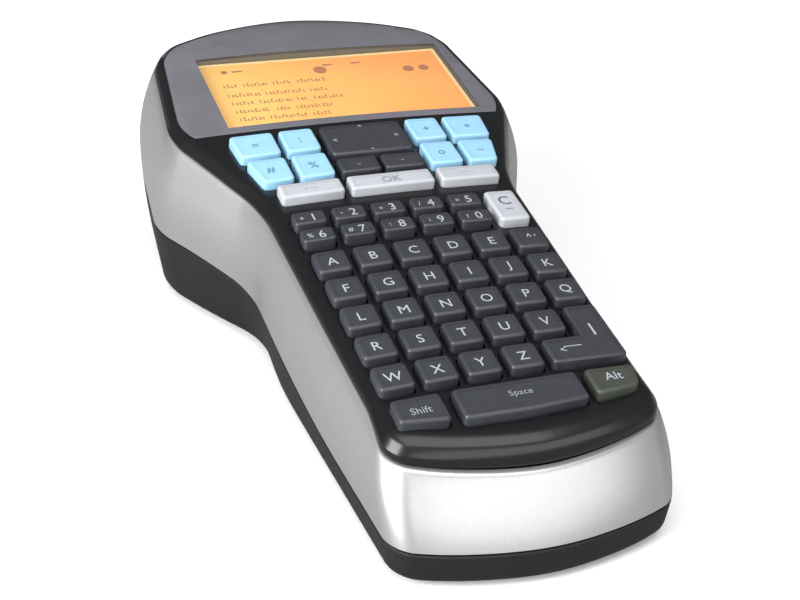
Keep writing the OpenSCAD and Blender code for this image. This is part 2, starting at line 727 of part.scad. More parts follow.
// Ribs at both sides and the far end of the battery pack
module battery_ribs() {
    x0 = battery_bay[0] - rib_t;
    x1 = battery_bay[1];
    y1 = battery_bay[3] + rib_t;
    rib_h = battery_h * 0.7;
    for (x = [x0, x1])
        translate([x, battery_bay[2], floor_z - eps]) cube([rib_t, y1 - battery_bay[2], rib_h]);
    translate([x0, battery_bay[3], floor_z - eps]) cube([x1 + rib_t - x0, rib_t, rib_h]);
}
module chassis_columns() {
    for (p = chassis_places)
        translate([p.x, p.y, floor_z - eps]) cylinder(r = column_r, h = chassis_z - floor_z + eps);
}
module platen_bearing() {
    translate([platen_at.x, platen_at.y, floor_z - eps]) cylinder(r = post_r + bearing_t, h = bearing_h);
}
// Blocks under the two sockets
module jack_cradle() {
    jack_cradle_w = jack_body.x + 2;
    usb_cradle_w = usb_w + 2;
    set_back = 0.8;                                   // of a block from the socket's face
    translate([jack_at.x - jack_cradle_w / 2, jack_face_y - jack_body.y - 0.4, floor_z - eps])
        cube([jack_cradle_w, jack_body.y + 0.4 - set_back, jack_at.y - jack_body.z / 2 - 0.1 - floor_z]);
    translate([usb_at.x - usb_cradle_w / 2, usb_face_y - usb_body.y - 1, floor_z - eps])
        cube([usb_cradle_w, usb_body.y + 1 - 1.4, usb_at.y - usb_body.z / 2 - 0.1 - floor_z]);
}

// The opening that a cap needs in the plate
module cap_hole(c) {
    translate([0, 0, -1]) linear_extrude(face_t + 2) polygon(rounded(inset(c, -key_gap), 2));
}
module window_area(g) {
    intersection() {
        outline_prism(face_inset + window_inset + g, seat_front_y, 0, big / 4);
        on_face() translate([-big / 2, lcd_v0 - window_past_lcd + g, -1]) cube([big, big, face_t + 3]);
    }
}
module face_plate() {
    color(black) difference() {
        intersection() {
            outline_prism(face_inset, seat_front_y, 0, big / 4);
            face_slab(0, face_t);
        }
        on_face() for (c = all_caps) cap_hole(c);
        on_face() translate([lcd_x0 - lcd_gap, lcd_v0 - lcd_gap, -1])
            cube([lcd_w + 2 * lcd_gap, lcd_l + 2 * lcd_gap, face_t + 2]);
        intersection() {
            window_area(0);
            face_slab(face_t - window_t - window_recess, face_t + 1);
        }
    }
}
module display_window() {
    color([0.25, 0.25, 0.27]) intersection() {
        window_area(window_gap);
        face_slab(face_t - window_t - window_recess, face_t - window_recess);
    }
}
module lcd_panel() {
    color([0.95, 0.65, 0.25]) on_face() translate([lcd_x0, lcd_v0, lcd_w0]) cube([lcd_w, lcd_l, lcd_t]);
}
module lcd_backlight() {
    color("white") on_face()
        translate([lcd_x0 + backlight_set_back, lcd_v0 + backlight_set_back, backlight_w0])
            cube([lcd_w - 2 * backlight_set_back, lcd_l - 2 * backlight_set_back, lcd_w0 - backlight_w0]);
}
// A flat cable from the back of the display, down and forward to the board
cable_w = 20;
module display_cable() {
    cable_t = 0.4;
    overlap = 3;                                      // on the board
    rise_v = lcd_v0 + 4;                              // where it turns up to the display
    rise_l = 1;
    color([0.75, 0.5, 0.2]) on_face() translate([lcd_shift - cable_w / 2, 0, 0]) union() {
        translate([0, board_rear_v - overlap, board_top_w])
            cube([cable_w, rise_v + rise_l - board_rear_v + overlap, cable_t]);
        translate([0, rise_v, board_top_w]) cube([cable_w, rise_l, backlight_w0 - board_top_w]);
    }
}
module key_mat() {
    color([0.3, 0.3, 0.32]) difference() {
        union() {
            intersection() {
                outline_prism(wall + ledge_w + 1, seat_front_y, 0, big / 4);
                on_face() translate([-big / 2, board_front_v, mat_top_w - mat_t])
                    cube([big, board_rear_v - 0.5 - board_front_v, mat_t]);
            }
            on_face() for (c = all_caps) {
                m = centre(c);
                translate([m.x, m.y, mat_top_w - eps]) cylinder(r = dome_r, h = dome_h, $fn = 16);
            }
        }
        post_space(boss_r + post_clear);
        on_face() for (p = board_screw_places)
            translate([p.x, p.y, -20]) cylinder(r = inner_screw_r + 0.5, h = 30);
        // room for the flat cable's end
        on_face() translate([lcd_shift - cable_w / 2 - 1, board_rear_v - 4, -20]) cube([cable_w + 2, 10, 30]);
    }
}
// A component on the board's underside, from its corner and its size
module board_part(at, size) {
    on_face() translate([at.x, at.y, board_top_w - board_t - size.z]) cube([size.x, size.y, size.z + 0.1]);
}
module main_board() {
    color([0.10, 0.35, 0.20]) difference() {
        union() {
            intersection() {
                outline_prism(wall + 1, seat_front_y, 0, big / 4);
                on_face() translate([-big / 2, board_front_v, board_top_w - board_t])
                    cube([big, board_rear_v - board_front_v, board_t]);
            }
            board_part([-7, -30], [14, 14, 1.4]);         // processor
            board_part([10, -10], [8, 6, 2.2]);           // power supply coil
            board_part([-20, -12], [6, 10, 1.8]);         // memory
        }
        post_space(boss_r + post_clear);
        on_face() for (p = board_screw_places)
            translate([p.x, p.y, -20]) cylinder(r = inner_screw_r + clear_hole, h = 30);
    }
}
module inner_screw(l) {
    translate([0, 0, -inner_screw_head_h]) cylinder(r = inner_screw_head_r, h = inner_screw_head_h);
    translate([0, 0, -eps]) cylinder(r = inner_screw_r, h = l);
}
module inner_screws() {
    color("silver") {
        on_face() for (p = board_screw_places)
            translate([p.x, p.y, board_top_w - board_t]) inner_screw(board_t + mat_t + 0.6);
        for (p = chassis_places)
            translate([p.x, p.y, chassis_z + chassis_t]) mirror([0, 0, 1]) inner_screw(chassis_t + 4);
    }
}
module housing_screws() {
    socket_r = 1;
    color("silver") for (p = screw_places) translate([p.x, p.y, foot_h + screw_sink]) {
        difference() {
            cylinder(r = screw_head_r, h = screw_head_h);
            translate([0, 0, -1]) cylinder(r = socket_r, h = 2, $fn = 6);
        }
        translate([0, 0, screw_head_h - eps]) cylinder(r = screw_r, h = screw_len - screw_head_h);
    }
}
foot_places = [
    for (s = [-1, 1]) [s * (front_half_w - 20), front_y + 9.5],
    for (s = [-1, 1]) [s * (rear_half_w - 6), rear_y - 34]
];
module rubber_feet() {
    color([0.15, 0.15, 0.15]) for (p = foot_places)
        translate([p.x, p.y, 0]) cylinder(r = foot_r, h = foot_h + foot_sink);
}
module cassette_door() {
    color(black) door(cassette_bay);
}
module battery_cover() {
    color(black) door(battery_bay);
}
module battery_pack() {
    color([0.25, 0.27, 0.30]) translate([0, 0, battery_z0])
        linear_extrude(battery_h)
            polygon(rounded(rect(-battery_w / 2, battery_y0, battery_w / 2, battery_y1, 3), 3));
}
module battery_contacts() {
    strip_w = 2;
    strip_t = 0.4;
    strip_l = 9;
    on_pack = 5;                                      // how far a strip reaches over the pack
    leg_h = 3.2;
    color([0.85, 0.7, 0.3]) for (x = [-6, 0, 6])
        translate([x - strip_w / 2, battery_y1, battery_z0 + battery_h + 0.3]) union() {
            translate([0, -on_pack, 0]) cube([strip_w, strip_l, strip_t]);
            translate([0, strip_l - on_pack - strip_t, 0.2 - leg_h]) cube([strip_w, strip_t, leg_h]);
        }
}

// ---- Cassette ----
roll_r = 16.5;
roll_core_r = 4;
roll_at = [cassette_x0 + case_t + roll_r + 1, cassette_y0 + case_t + roll_r + 1];
take_r = 5.5;
supply_r = 6;
supply_core_r = 2;
spindle_r = 2.6;
head_notch = 6.4;                                     // depth and ends of the notch for the print head
notch_y0 = lever_at.y + 3.5;
notch_y1 = lever_at.y + 28;
supply_at = [cassette_x1 - head_notch - case_t - supply_r - free_gap, cassette_y0 + 12];
spool_z0 = cassette_z0 + case_t + 0.4;
spool_z1 = cassette_z1 - case_t - 0.4;
// The cassette's outline, moved in by g
module case_shape(g, r) {
    polygon(rounded(rect(cassette_x0 + g, cassette_y0 + g, cassette_x1 - g, cassette_y1 - g, r), 3));
}
module tape_cassette() {
    drive_hole_r = 4.4;
    core_hole_r = 2.4;
    sight = [7, 7];
    color([0.86, 0.87, 0.88]) difference() {
        translate([0, 0, cassette_z0]) linear_extrude(cassette_h) case_shape(0, 3);
        difference() {
            translate([0, 0, cassette_z0 + case_t]) linear_extrude(cassette_h - 2 * case_t)
                case_shape(case_t, 2);
            translate([cassette_x1 - head_notch - case_t, notch_y0 - case_t, 0])
                cube([head_notch + case_t + 1, notch_y1 - notch_y0 + 2 * case_t, big / 4]);
            // core posts for the tape roll and the supply spool
            translate([roll_at.x, roll_at.y, 0]) cylinder(r = roll_core_r, h = big / 4);
            translate([supply_at.x, supply_at.y, 0]) cylinder(r = supply_core_r, h = big / 4);
        }
        translate([cassette_x1 - head_notch, notch_y0, 0])
            cube([head_notch + 1, notch_y1 - notch_y0, big / 4]);
        // the ribbon drive enters from above
        translate([ribbon_at.x, ribbon_at.y, cassette_z1 - case_t - 1]) cylinder(r = drive_hole_r, h = 4);
        translate([ribbon_at.x, ribbon_at.y, cassette_z0 - 1]) cylinder(r = core_hole_r, h = 3);
        // sight window over the tape roll
        translate([roll_at.x - 10, roll_at.y - 10, cassette_z0 - 1]) cube([sight.x, sight.y, case_t + 2]);
    }
}
module tape_roll() {
    color("white") translate([roll_at.x, roll_at.y, 0])
        tube(roll_r, roll_core_r + run_gap, spool_z0, spool_z1);
}
module ribbon_supply_spool() {
    color([0.12, 0.12, 0.14]) translate([supply_at.x, supply_at.y, 0])
        tube(supply_r, supply_core_r + run_gap, spool_z0, spool_z1);
}
module ribbon_take_up_spool() {
    color([0.14, 0.14, 0.16]) translate([ribbon_at.x, ribbon_at.y, 0])
        tube(take_r, spindle_r, spool_z0, spool_z1);
}

// ---- Print unit ----
module mech_frame() {
    plate_y0 = cassette_y0 - 3;
    plate_y1 = rear_y - 13;
    motor_hole_r = 3;
    color([0.72, 0.74, 0.76]) difference() {
        union() {
            intersection() {
                outline_prism(wall + 0.8, front_y, chassis_z, chassis_z + chassis_t);
                translate([-big / 2, plate_y0, 0]) cube([big, plate_y1 - plate_y0, big / 4]);
            }
            // post that the head lever turns on
            translate([lever_at.x, lever_at.y, lever_z0 - 1])
                cylinder(r = post_r, h = chassis_z - lever_z0 + 1 + eps);
            // posts for the two gears that turn above the plate
            for (p = [reduction_at, idler_at])
                translate([p.x, p.y, chassis_z + eps]) cylinder(r = post_r, h = gear_top_z + 0.8 - chassis_z);
            // guide that carries the cutter
            cutter_guide();
        }
        chassis_hole(platen_at, post_r + run_gap);
        chassis_hole(ribbon_at, spindle_r + run_gap);
        chassis_hole(motor_at, motor_hole_r);
        for (p = chassis_places) chassis_hole(p, inner_screw_r + clear_hole);
        for (p = screw_places) chassis_hole(p, boss_r + post_clear);
    }
}
module chassis_hole(p, r) {
    translate([p.x, p.y, chassis_z - 1]) cylinder(r = r, h = chassis_t + 2);
}
guide_x0 = tape_x + 6;
guide_x1 = guide_x0 + 1.6;
module cutter_guide() {
    guide_w = 10;
    rod_gap = 0.3;
    rod_hole = rod_w + 2 * rod_gap;
    difference() {
        translate([guide_x0, cutter_y - guide_w / 2, cutter_z - rod_w])
            cube([guide_x1 - guide_x0, guide_w, chassis_z - cutter_z + rod_w + eps]);
        translate([guide_x0 - 1, cutter_y - rod_hole / 2, cutter_z - rod_hole / 2])
            cube([guide_x1 - guide_x0 + 2, rod_hole, rod_hole]);
    }
}
motor_r = 7;
motor_h = 18;
motor_neck_h = 1;                                     // of the round bearing at its shaft's end
motor_shaft_r = 0.8;
module drive_motor() {
    color([0.6, 0.6, 0.62]) translate([motor_at.x, motor_at.y, 0]) {
        translate([0, 0, chassis_z - motor_h]) cylinder(r = motor_r, h = motor_h);
        translate([0, 0, chassis_z - eps]) cylinder(r = 2.6, h = motor_neck_h);
        translate([0, 0, chassis_z - motor_h - 1.2]) cylinder(r = 3, h = 1.3);
    }
}
module motor_pinion() {
    shaft_z0 = chassis_z + motor_neck_h + 0.3;
    color([0.85, 0.7, 0.35]) translate([motor_at.x, motor_at.y, 0]) {
        translate([0, 0, low_gear_z]) spur(pinion_teeth, pinion_turn, motor_shaft_r);
        translate([0, 0, shaft_z0]) cylinder(r = motor_shaft_r, h = low_gear_z + gear_t - shaft_z0);
    }
}
module reduction_gear() {
    color([0.92, 0.92, 0.9]) translate([reduction_at.x, reduction_at.y, 0]) union() {
        translate([0, 0, low_gear_z]) spur(big_teeth, big_turn, post_r + run_gap);
        translate([0, 0, low_gear_z + gear_t - eps]) linear_extrude(free_gap + 2 * eps) difference() {
            circle(r = gear_hub_r);
            circle(r = post_r + run_gap);
        }
        translate([0, 0, high_gear_z]) spur(small_teeth, small_turn, post_r + run_gap);
    }
}
module platen_gear() {
    color([0.92, 0.92, 0.9]) translate([platen_at.x, platen_at.y, high_gear_z])
        spur(platen_teeth, platen_turn, post_r);
}
module platen_roller() {
    color([0.2, 0.2, 0.2]) translate([platen_at.x, platen_at.y, 0]) {
        translate([0, 0, lever_z0 + 1]) cylinder(r = platen_r, h = lever_z1 - lever_z0 - 2);
        translate([0, 0, floor_z + 0.8]) cylinder(r = post_r, h = gear_top_z - floor_z - 0.8);
    }
}
module idler_gear() {
    color([0.92, 0.92, 0.9]) translate([idler_at.x, idler_at.y, 0]) union() {
        translate([0, 0, high_gear_z]) spur(idler_teeth, idler_turn, post_r + run_gap);
        tube(3, post_r + run_gap, chassis_z + chassis_t + 0.2, high_gear_z + eps);
    }
}
module ribbon_drive_gear() {
    color([0.92, 0.92, 0.9]) translate([ribbon_at.x, ribbon_at.y, 0]) union() {
        translate([0, 0, high_gear_z]) spur(ribbon_teeth, ribbon_turn, 1);
        translate([0, 0, spool_z0]) cylinder(r = spindle_r, h = high_gear_z + gear_t - spool_z0);
    }
}
module head_lever() {
    color([0.7, 0.72, 0.75]) difference() {
        union() {
            translate([lever_at.x, lever_at.y, lever_z0]) cylinder(r = post_r + 1.2, h = lever_z1 - lever_z0);
            translate([head_face_x - head_t - lever_t, lever_at.y, lever_z0])
                cube([lever_t, platen_at.y + head_len / 2 + 1.5 - lever_at.y, lever_z1 - lever_z0]);
        }
        translate([lever_at.x, lever_at.y, lever_z0 - 1])
            cylinder(r = post_r + run_gap, h = lever_z1 - lever_z0 + 2);
    }
}
module print_head() {
    color([0.9, 0.9, 0.88]) translate([head_face_x - head_t, platen_at.y - head_len / 2, lever_z0 + 1.5])
        cube([head_t, head_len, lever_z1 - lever_z0 - 3]);
}

// ---- Cutter ----
button_flange_t = 1.2;
button_flange_h = 1.2;
blade_w = 3;
button_flange_x = side_x(cutter_y + button_w / 2) - wall - 0.6 - button_flange_t;
module cutter_button() {
    color(charcoal) union() {
        translate([button_flange_x + button_flange_t / 2, cutter_y - button_w / 2, cutter_z - button_h / 2])
            cube([button_face_x - button_flange_x - button_flange_t / 2, button_w, button_h]);
        // flange that stops the button leaving its hole
        translate([button_flange_x, cutter_y - button_w / 2, cutter_z - button_h / 2 - button_flange_h])
            cube([button_flange_t, button_w, button_h + 2 * button_flange_h]);
        translate([blade_rest_x + blade_w, cutter_y - rod_w / 2, cutter_z - rod_w / 2])
            cube([button_flange_x + 0.1 - blade_rest_x - blade_w, rod_w, rod_w]);
    }
}
module cutter_blade() {
    blade_t = 1;
    blade_h = exit_z1 - exit_z0;
    grind_a = 28;
    color([0.8, 0.82, 0.85]) difference() {
        translate([blade_rest_x, cutter_y - blade_t / 2, exit_z0]) cube([blade_w, blade_t, blade_h]);
        // ground edge
        translate([blade_rest_x, cutter_y + blade_t / 2, exit_z0 - 1]) rotate([0, 0, -grind_a])
            translate([-2, 0, 0]) cube([4, 2, blade_h + 2]);
    }
}
// The spring is drawn at its pressed length, round the rod
module cutter_spring() {
    spring_r = 4;
    wire = 0.5;
    rings = 3;
    spring_x = guide_x1 + 0.1;
    color([0.7, 0.7, 0.72]) union() {
        for (i = [0 : rings - 1])
            translate([spring_x + wire / 2 + i * wire * 0.9, cutter_y, cutter_z]) rotate([0, 90, 0])
                rotate_extrude() translate([spring_r, 0]) circle(r = wire / 2, $fn = 16);
    }
}

// ---- Sockets ----
module dc_jack() {
    color([0.12, 0.12, 0.12]) translate([jack_at.x, jack_face_y, jack_at.y]) rotate([90, 0, 0]) difference() {
        translate([-jack_body.x / 2, -jack_body.z / 2, 0]) cube([jack_body.x, jack_body.z, jack_body.y]);
        translate([0, 0, -1]) cylinder(r = jack_r, h = jack_depth + 1);
    }
}
module usb_port() {
    color([0.75, 0.76, 0.78]) translate([usb_at.x, usb_face_y, usb_at.y]) difference() {
        translate([-usb_w / 2, -usb_body.y, -usb_body.z / 2]) cube(usb_body);
        translate([-usb_w / 2 + usb_shell_t, -7, -usb_body.z / 2 + usb_shell_t])
            cube([usb_w - 2 * usb_shell_t, 8, usb_body.z - 2 * usb_shell_t]);
    }
}

// ---- Draw ----
upper_shell();
base_shell();
face_plate();
display_window();
lcd_panel();
lcd_backlight();
display_cable();
key_mat();
main_board();
inner_screws();
housing_screws();
rubber_feet();
cassette_door();
battery_cover();
battery_pack();
battery_contacts();
tape_cassette();
tape_roll();
ribbon_supply_spool();
ribbon_take_up_spool();
mech_frame();
drive_motor();
motor_pinion();
reduction_gear();
platen_gear();
platen_roller();
idler_gear();
ribbon_drive_gear();
head_lever();
print_head();
cutter_button();
cutter_blade();
cutter_spring();
dc_jack();
usb_port();
color(charcoal) keys(number_caps);  // number_keys
color(charcoal) keys(row_caps[0]);  // letter_row_a
color(charcoal) keys(row_caps[1]);  // letter_row_f
color(charcoal) keys(row_caps[2]);  // letter_row_l
color(charcoal) keys(row_caps[3]);  // letter_row_r
color(charcoal) keys(row_caps[4]);  // letter_row_w
color(charcoal) keys([special_cap]);  // special_key
color(pale_grey) keys([clear_cap]);  // clear_key
color(charcoal) keys([enter_cap]);  // enter_key
color(charcoal) keys([shift_cap]);  // shift_key
color(charcoal) keys([space_cap]);  // space_key
color(charcoal) keys([alt_cap]);  // alt_key
color(sky_blue) keys([flip(blue_outer(1))]);  // blue_key_upper_left_outer
color(sky_blue) keys([flip(blue_inner(1))]);  // blue_key_upper_left_inner
color(sky_blue) keys([blue_inner(1)]);  // blue_key_upper_right_inner
color(sky_blue) keys([blue_outer(1)]);  // blue_key_upper_right_outer
color(sky_blue) keys([flip(blue_outer(0))]);  // blue_key_lower_left_outer
color(sky_blue) keys([flip(blue_inner(0))]);  // blue_key_lower_left_inner
color(sky_blue) keys([blue_inner(0)]);  // blue_key_lower_right_inner
color(sky_blue) keys([blue_outer(0)]);  // blue_key_lower_right_outer
color(pale_grey) keys([flip(grey_outer)]);  // grey_key_left
color(pale_grey) keys([grey_middle]);  // grey_key_middle
color(pale_grey) keys([grey_outer]);  // grey_key_right
color(charcoal) keys(dark_caps);  // dark_keys
color(charcoal) keys([nav_cap]);  // navigation_pad
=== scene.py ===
"""Hand-held label maker: the visual pieces, materials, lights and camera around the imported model.

Lengths in this file are millimetres, angles are degrees, and colours are sRGB hex values.
Every mesh is drawn in millimetres in the model's own frame and is scaled to metres as the last step.
The face frame has x across the face, y up its slope and z out of it, from the seat of the face plate.
"""

import json
import logging
import math
from dataclasses import dataclass, field
from enum import Enum
from typing import Callable, Iterable, Sequence

import bmesh
import bpy
from mathutils import Matrix, Vector


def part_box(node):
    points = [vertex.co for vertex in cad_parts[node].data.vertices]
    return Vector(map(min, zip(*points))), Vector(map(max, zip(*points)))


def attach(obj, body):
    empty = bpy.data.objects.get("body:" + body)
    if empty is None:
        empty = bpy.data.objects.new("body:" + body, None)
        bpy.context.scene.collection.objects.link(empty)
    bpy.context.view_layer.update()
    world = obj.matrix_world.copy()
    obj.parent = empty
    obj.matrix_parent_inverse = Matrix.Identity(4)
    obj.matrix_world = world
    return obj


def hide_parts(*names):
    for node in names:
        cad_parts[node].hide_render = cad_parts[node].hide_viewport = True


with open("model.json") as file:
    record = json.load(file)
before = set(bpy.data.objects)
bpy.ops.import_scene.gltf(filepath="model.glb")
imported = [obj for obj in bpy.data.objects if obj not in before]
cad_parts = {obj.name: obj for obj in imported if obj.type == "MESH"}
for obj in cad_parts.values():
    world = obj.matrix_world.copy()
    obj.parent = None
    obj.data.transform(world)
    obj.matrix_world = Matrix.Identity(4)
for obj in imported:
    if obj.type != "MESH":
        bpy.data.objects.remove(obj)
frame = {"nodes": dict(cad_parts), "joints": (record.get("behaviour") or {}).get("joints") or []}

Mesh = bmesh.types.BMesh
Vert = bmesh.types.BMVert
Tree = bpy.types.NodeTree
Socket = bpy.types.NodeSocket
Piece = bpy.types.Object
Place = Callable[[Vector, Vector], Vector]
Height = Callable[[float], float]

MM = 0.001
HOUSING = "housing"
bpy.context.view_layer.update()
LOG = logging.getLogger("label_maker")


# ---------------------------------------------------------------- colours and nodes
def linear(hex_code: str, alpha: float = 1.0) -> tuple[float, float, float, float]:
    """Turns an sRGB hex colour into a linear one.

    Args:
        hex_code: Six hex digits, with or without a leading #.
        alpha: The fourth channel.

    Returns:
        Linear red, green, blue and alpha.
    """
    code = hex_code.lstrip("#")
    parts = [int(code[i:i + 2], 16) / 255 for i in (0, 2, 4)]
    curve = [c / 12.92 if c <= 0.04045 else ((c + 0.055) / 1.055) ** 2.4 for c in parts]
    return (curve[0], curve[1], curve[2], alpha)


def add_node(tree: Tree, kind: str, inputs: dict | None = None, **settings: object) -> bpy.types.Node:
    """Adds one node with its settings, values and links.

    Args:
        tree: The material's node tree.
        kind: The node's type name.
        inputs: For each input, by name or number, a value or the socket that feeds it.
        **settings: The node's own properties.

    Returns:
        The new node.
    """
    made = tree.nodes.new(kind)
    for name, value in settings.items():
        setattr(made, name, value)
    for name, value in (inputs or {}).items():
        if isinstance(value, Socket):
            tree.links.new(value, made.inputs[name])
        else:
            made.inputs[name].default_value = value
    return made


class Grain(Enum):
    """How a surface was made, which decides the pattern of its fine relief."""

    POLISHED = "polished"
    MOULDED = "moulded"
    SPARKED = "sparked"
    BRUSHED = "brushed"
    WOUND = "wound"


@dataclass(frozen=True)
class Finish:
    """One surface finish: what it is made of and what its surface shows.

    Attributes:
        name: The material's name.
        colour: Base colour.
        roughness: Middle value of the roughness.
        metallic: 1 for bare metal.
        ior: Index of refraction of a plastic, glass or rubber.
        coat: Weight of a clear coat.
        grain: How the surface was made.
        grain_mm: Size of the fine relief.
        depth_mm: Depth of the fine relief.
        mottle: How far the colour wanders to either side.
        mottle_mm: Size of the patches in the colour.
        rough_spread: How far the roughness wanders to either side.
        glow: Strength of its own light.
    """

    name: str
    colour: str
    roughness: float
    metallic: float = 0.0
    ior: float = 1.5
    coat: float = 0.0
    grain: Grain = Grain.MOULDED
    grain_mm: float = 0.45
    depth_mm: float = 0.012
    mottle: float = 0.06
    mottle_mm: float = 9.0
    rough_spread: float = 0.05
    glow: float = 0.0

    def place(self, tree: Tree) -> Socket:
        """The object's own coordinates, in metres."""
        return add_node(tree, "ShaderNodeTexCoord").outputs["Object"]

    def relief(self, tree: Tree, place: Socket) -> Socket:
        """The height of the fine relief, from 0 to 1.

        Args:
            tree: The material's node tree.
            place: The coordinates that the pattern reads.

        Returns:
            A socket with the height.
        """
        scale = 1 / (self.grain_mm * MM)
        if self.grain is Grain.BRUSHED:
            stretched = add_node(tree, "ShaderNodeMapping", {"Vector": place, "Scale": (1.0, 0.04, 1.0)})
            return add_node(tree, "ShaderNodeTexNoise",
                            {"Vector": stretched.outputs[0], "Scale": scale, "Detail": 3.0}).outputs[0]
        if self.grain is Grain.WOUND:
            return add_node(tree, "ShaderNodeTexWave",
                            {"Vector": place, "Scale": scale / 6.28, "Distortion": 0.6, "Detail": 1.0},
                            wave_type="RINGS", rings_direction="Z").outputs[1]
        if self.grain is Grain.SPARKED:
            return add_node(tree, "ShaderNodeTexVoronoi", {"Vector": place, "Scale": scale},
                            feature="SMOOTH_F1").outputs["Distance"]
        return add_node(tree, "ShaderNodeTexNoise",
                        {"Vector": place, "Scale": scale, "Detail": 4.0, "Roughness": 0.6}).outputs[0]

    def tint(self, tree: Tree, place: Socket) -> Socket:
        """The base colour, which wanders a little over the surface.

        Args:
            tree: The material's node tree.
            place: The coordinates that the pattern reads.

        Returns:
            A socket with the colour.
        """
        patches = add_node(tree, "ShaderNodeTexNoise",
                           {"Vector": place, "Scale": 1 / (self.mottle_mm * MM), "Detail": 5.0,
                            "Roughness": 0.65})
        return self.shades(tree, patches.outputs[0], (0.3, 0.7))

    def shades(self, tree: Tree, pattern: Socket, stops: tuple[float, float]) -> Socket:
        """The base colour made a little darker and lighter by a pattern.

        Args:
            tree: The material's node tree.
            pattern: The pattern, from 0 to 1.
            stops: The pattern's values with the darkest and the lightest colour.

        Returns:
            A socket with the colour.
        """
        ramp = add_node(tree, "ShaderNodeValToRGB", {"Fac": pattern})
        for stop, position, share in zip(ramp.color_ramp.elements, stops, (-self.mottle, self.mottle)):
            stop.position = position
            stop.color = (*[min(1.0, c * (1 + share)) for c in linear(self.colour)[:3]], 1.0)
        return ramp.outputs[0]

    def build(self) -> bpy.types.Material:
        """Makes the material, once.

        Returns:
            The material.
        """
        found = bpy.data.materials.get(self.name)
        if found:
            return found
        material = bpy.data.materials.new(self.name)
        material.use_nodes = True
        tree = material.node_tree
        shader = tree.nodes["Principled BSDF"]
        shader.inputs["Metallic"].default_value = self.metallic
        if self.metallic == 0:
            shader.inputs["IOR"].default_value = self.ior
        if self.coat > 0:
            shader.inputs["Coat Weight"].default_value = self.coat
            shader.inputs["Coat Roughness"].default_value = 0.04
        place = self.place(tree)
        tree.links.new(self.tint(tree, place), shader.inputs["Base Color"])
        height = self.relief(tree, place)
        wander = add_node(tree, "ShaderNodeMapRange",
                          {"Value": height, "To Min": max(0.02, self.roughness - self.rough_spread),
                           "To Max": min(1.0, self.roughness + self.rough_spread)})
        tree.links.new(wander.outputs[0], shader.inputs["Roughness"])
        if self.grain is not Grain.POLISHED:
            bump = add_node(tree, "ShaderNodeBump", {"Height": height, "Distance": self.depth_mm * MM})
            tree.links.new(bump.outputs[0], shader.inputs["Normal"])
        if self.glow > 0:
            shader.inputs["Emission Strength"].default_value = self.glow
            shader.inputs["Emission Color"].default_value = linear(self.colour)
        self.dress(tree, shader, place)
        material.diffuse_color = linear(self.colour)
        return material

    def dress(self, tree: Tree, shader: bpy.types.Node, place: Socket) -> None:
        """Adds what only a special finish has; a plain one adds nothing."""


@dataclass(frozen=True)
class FlakePaint(Finish):
    """Satin metallic paint: each fine aluminium flake tilts a little in the real paint, and the light it
    catches is painted in as a flake colour a little lighter or darker.

    Attributes:
        flake_mm: Size of a flake, drawn coarser than the real 0.05 mm so that it shows.
    """

    flake_mm: float = 0.35

    def tint(self, tree: Tree, place: Socket) -> Socket:
        """The paint's colour, in which each flake is painted a little lighter or darker, a painted sparkle of
        light.
        """
        # painted sparkle: each flake's colour is a little lighter or darker, in place of light caught by
        # tilted flakes
        painted_flake_sparkle = add_node(tree, "ShaderNodeTexVoronoi", {"Vector": place, "Scale": 1 / (self.flake_mm * MM)})
        return self.shades(tree, painted_flake_sparkle.outputs["Color"], (0.0, 1.0))


@dataclass(frozen=True)
class BacklitGlass(Finish):
    """A backlit liquid crystal display: amber light that is yellower at one end.

    Attributes:
        far_colour: Colour at the right end.
        x_range: Where the change of colour starts and ends, across the face.
    """

    far_colour: str = "#E08A32"
    x_range: tuple[float, float] = (-30.0, 30.0)

    def tint(self, tree: Tree, place: Socket) -> Socket:
        """The amber colour, from one end of the glass to the other, with soft blotches.

        Args:
            tree: The material's node tree.
            place: The coordinates that the pattern reads.

        Returns:
            A socket with the colour.
        """
        parts = add_node(tree, "ShaderNodeSeparateXYZ", {"Vector": place})
        across = add_node(tree, "ShaderNodeMapRange",
                          {"Value": parts.outputs["X"], "From Min": self.x_range[0] * MM,
                           "From Max": self.x_range[1] * MM})
        cloud = add_node(tree, "ShaderNodeTexNoise",
                         {"Vector": place, "Scale": 1 / (self.mottle_mm * MM), "Detail": 3.0})
        shifted = add_node(tree, "ShaderNodeMath", {0: cloud.outputs[0], 1: 0.5}, operation="SUBTRACT")
        mixed = add_node(tree, "ShaderNodeMath", {0: shifted.outputs[0], 1: 0.9, 2: across.outputs[0]},
                         operation="MULTIPLY_ADD")
        ramp = add_node(tree, "ShaderNodeValToRGB", {"Fac": mixed.outputs[0]})
        ramp.color_ramp.elements[0].color = linear(self.colour)
        ramp.color_ramp.elements[1].color = linear(self.far_colour)
        return ramp.outputs[0]

    def dress(self, tree: Tree, shader: bpy.types.Node, place: Socket) -> None:
        """Lets the glass give out the same colour that it shows."""
        colour = shader.inputs["Base Color"].links[0].from_socket
        tree.links.new(colour, shader.inputs["Emission Color"])


@dataclass(frozen=True)
class PrintedBoard(Finish):
    """Glass-fibre board under green solder resist, with copper tracks that show through.

    Attributes:
        track_mm: Pitch of the tracks.
    """

    track_mm: float = 1.6

    def tint(self, tree: Tree, place: Socket) -> Socket:
        """Green resist, lighter where a track runs under it."""
        bricks = add_node(tree, "ShaderNodeTexBrick",
                          {"Vector": place, "Scale": 1 / (self.track_mm * 4 * MM), "Mortar Size": 0.05,
                           "Color1": linear(self.colour), "Color2": linear(self.colour),
                           "Mortar": linear("#3E8F57")})
        return bricks.outputs[0]


@dataclass(frozen=True)
class ClearPlastic(Finish):
    """Clear acrylic: nearly all the light passes, and the surface still shines.

    Attributes:
        clarity: Share of the light that passes.
    """

    clarity: float = 0.9

    def dress(self, tree: Tree, shader: bpy.types.Node, place: Socket) -> None:
        """Makes the plastic see-through."""
        shader.inputs["Alpha"].default_value = 1 - self.clarity


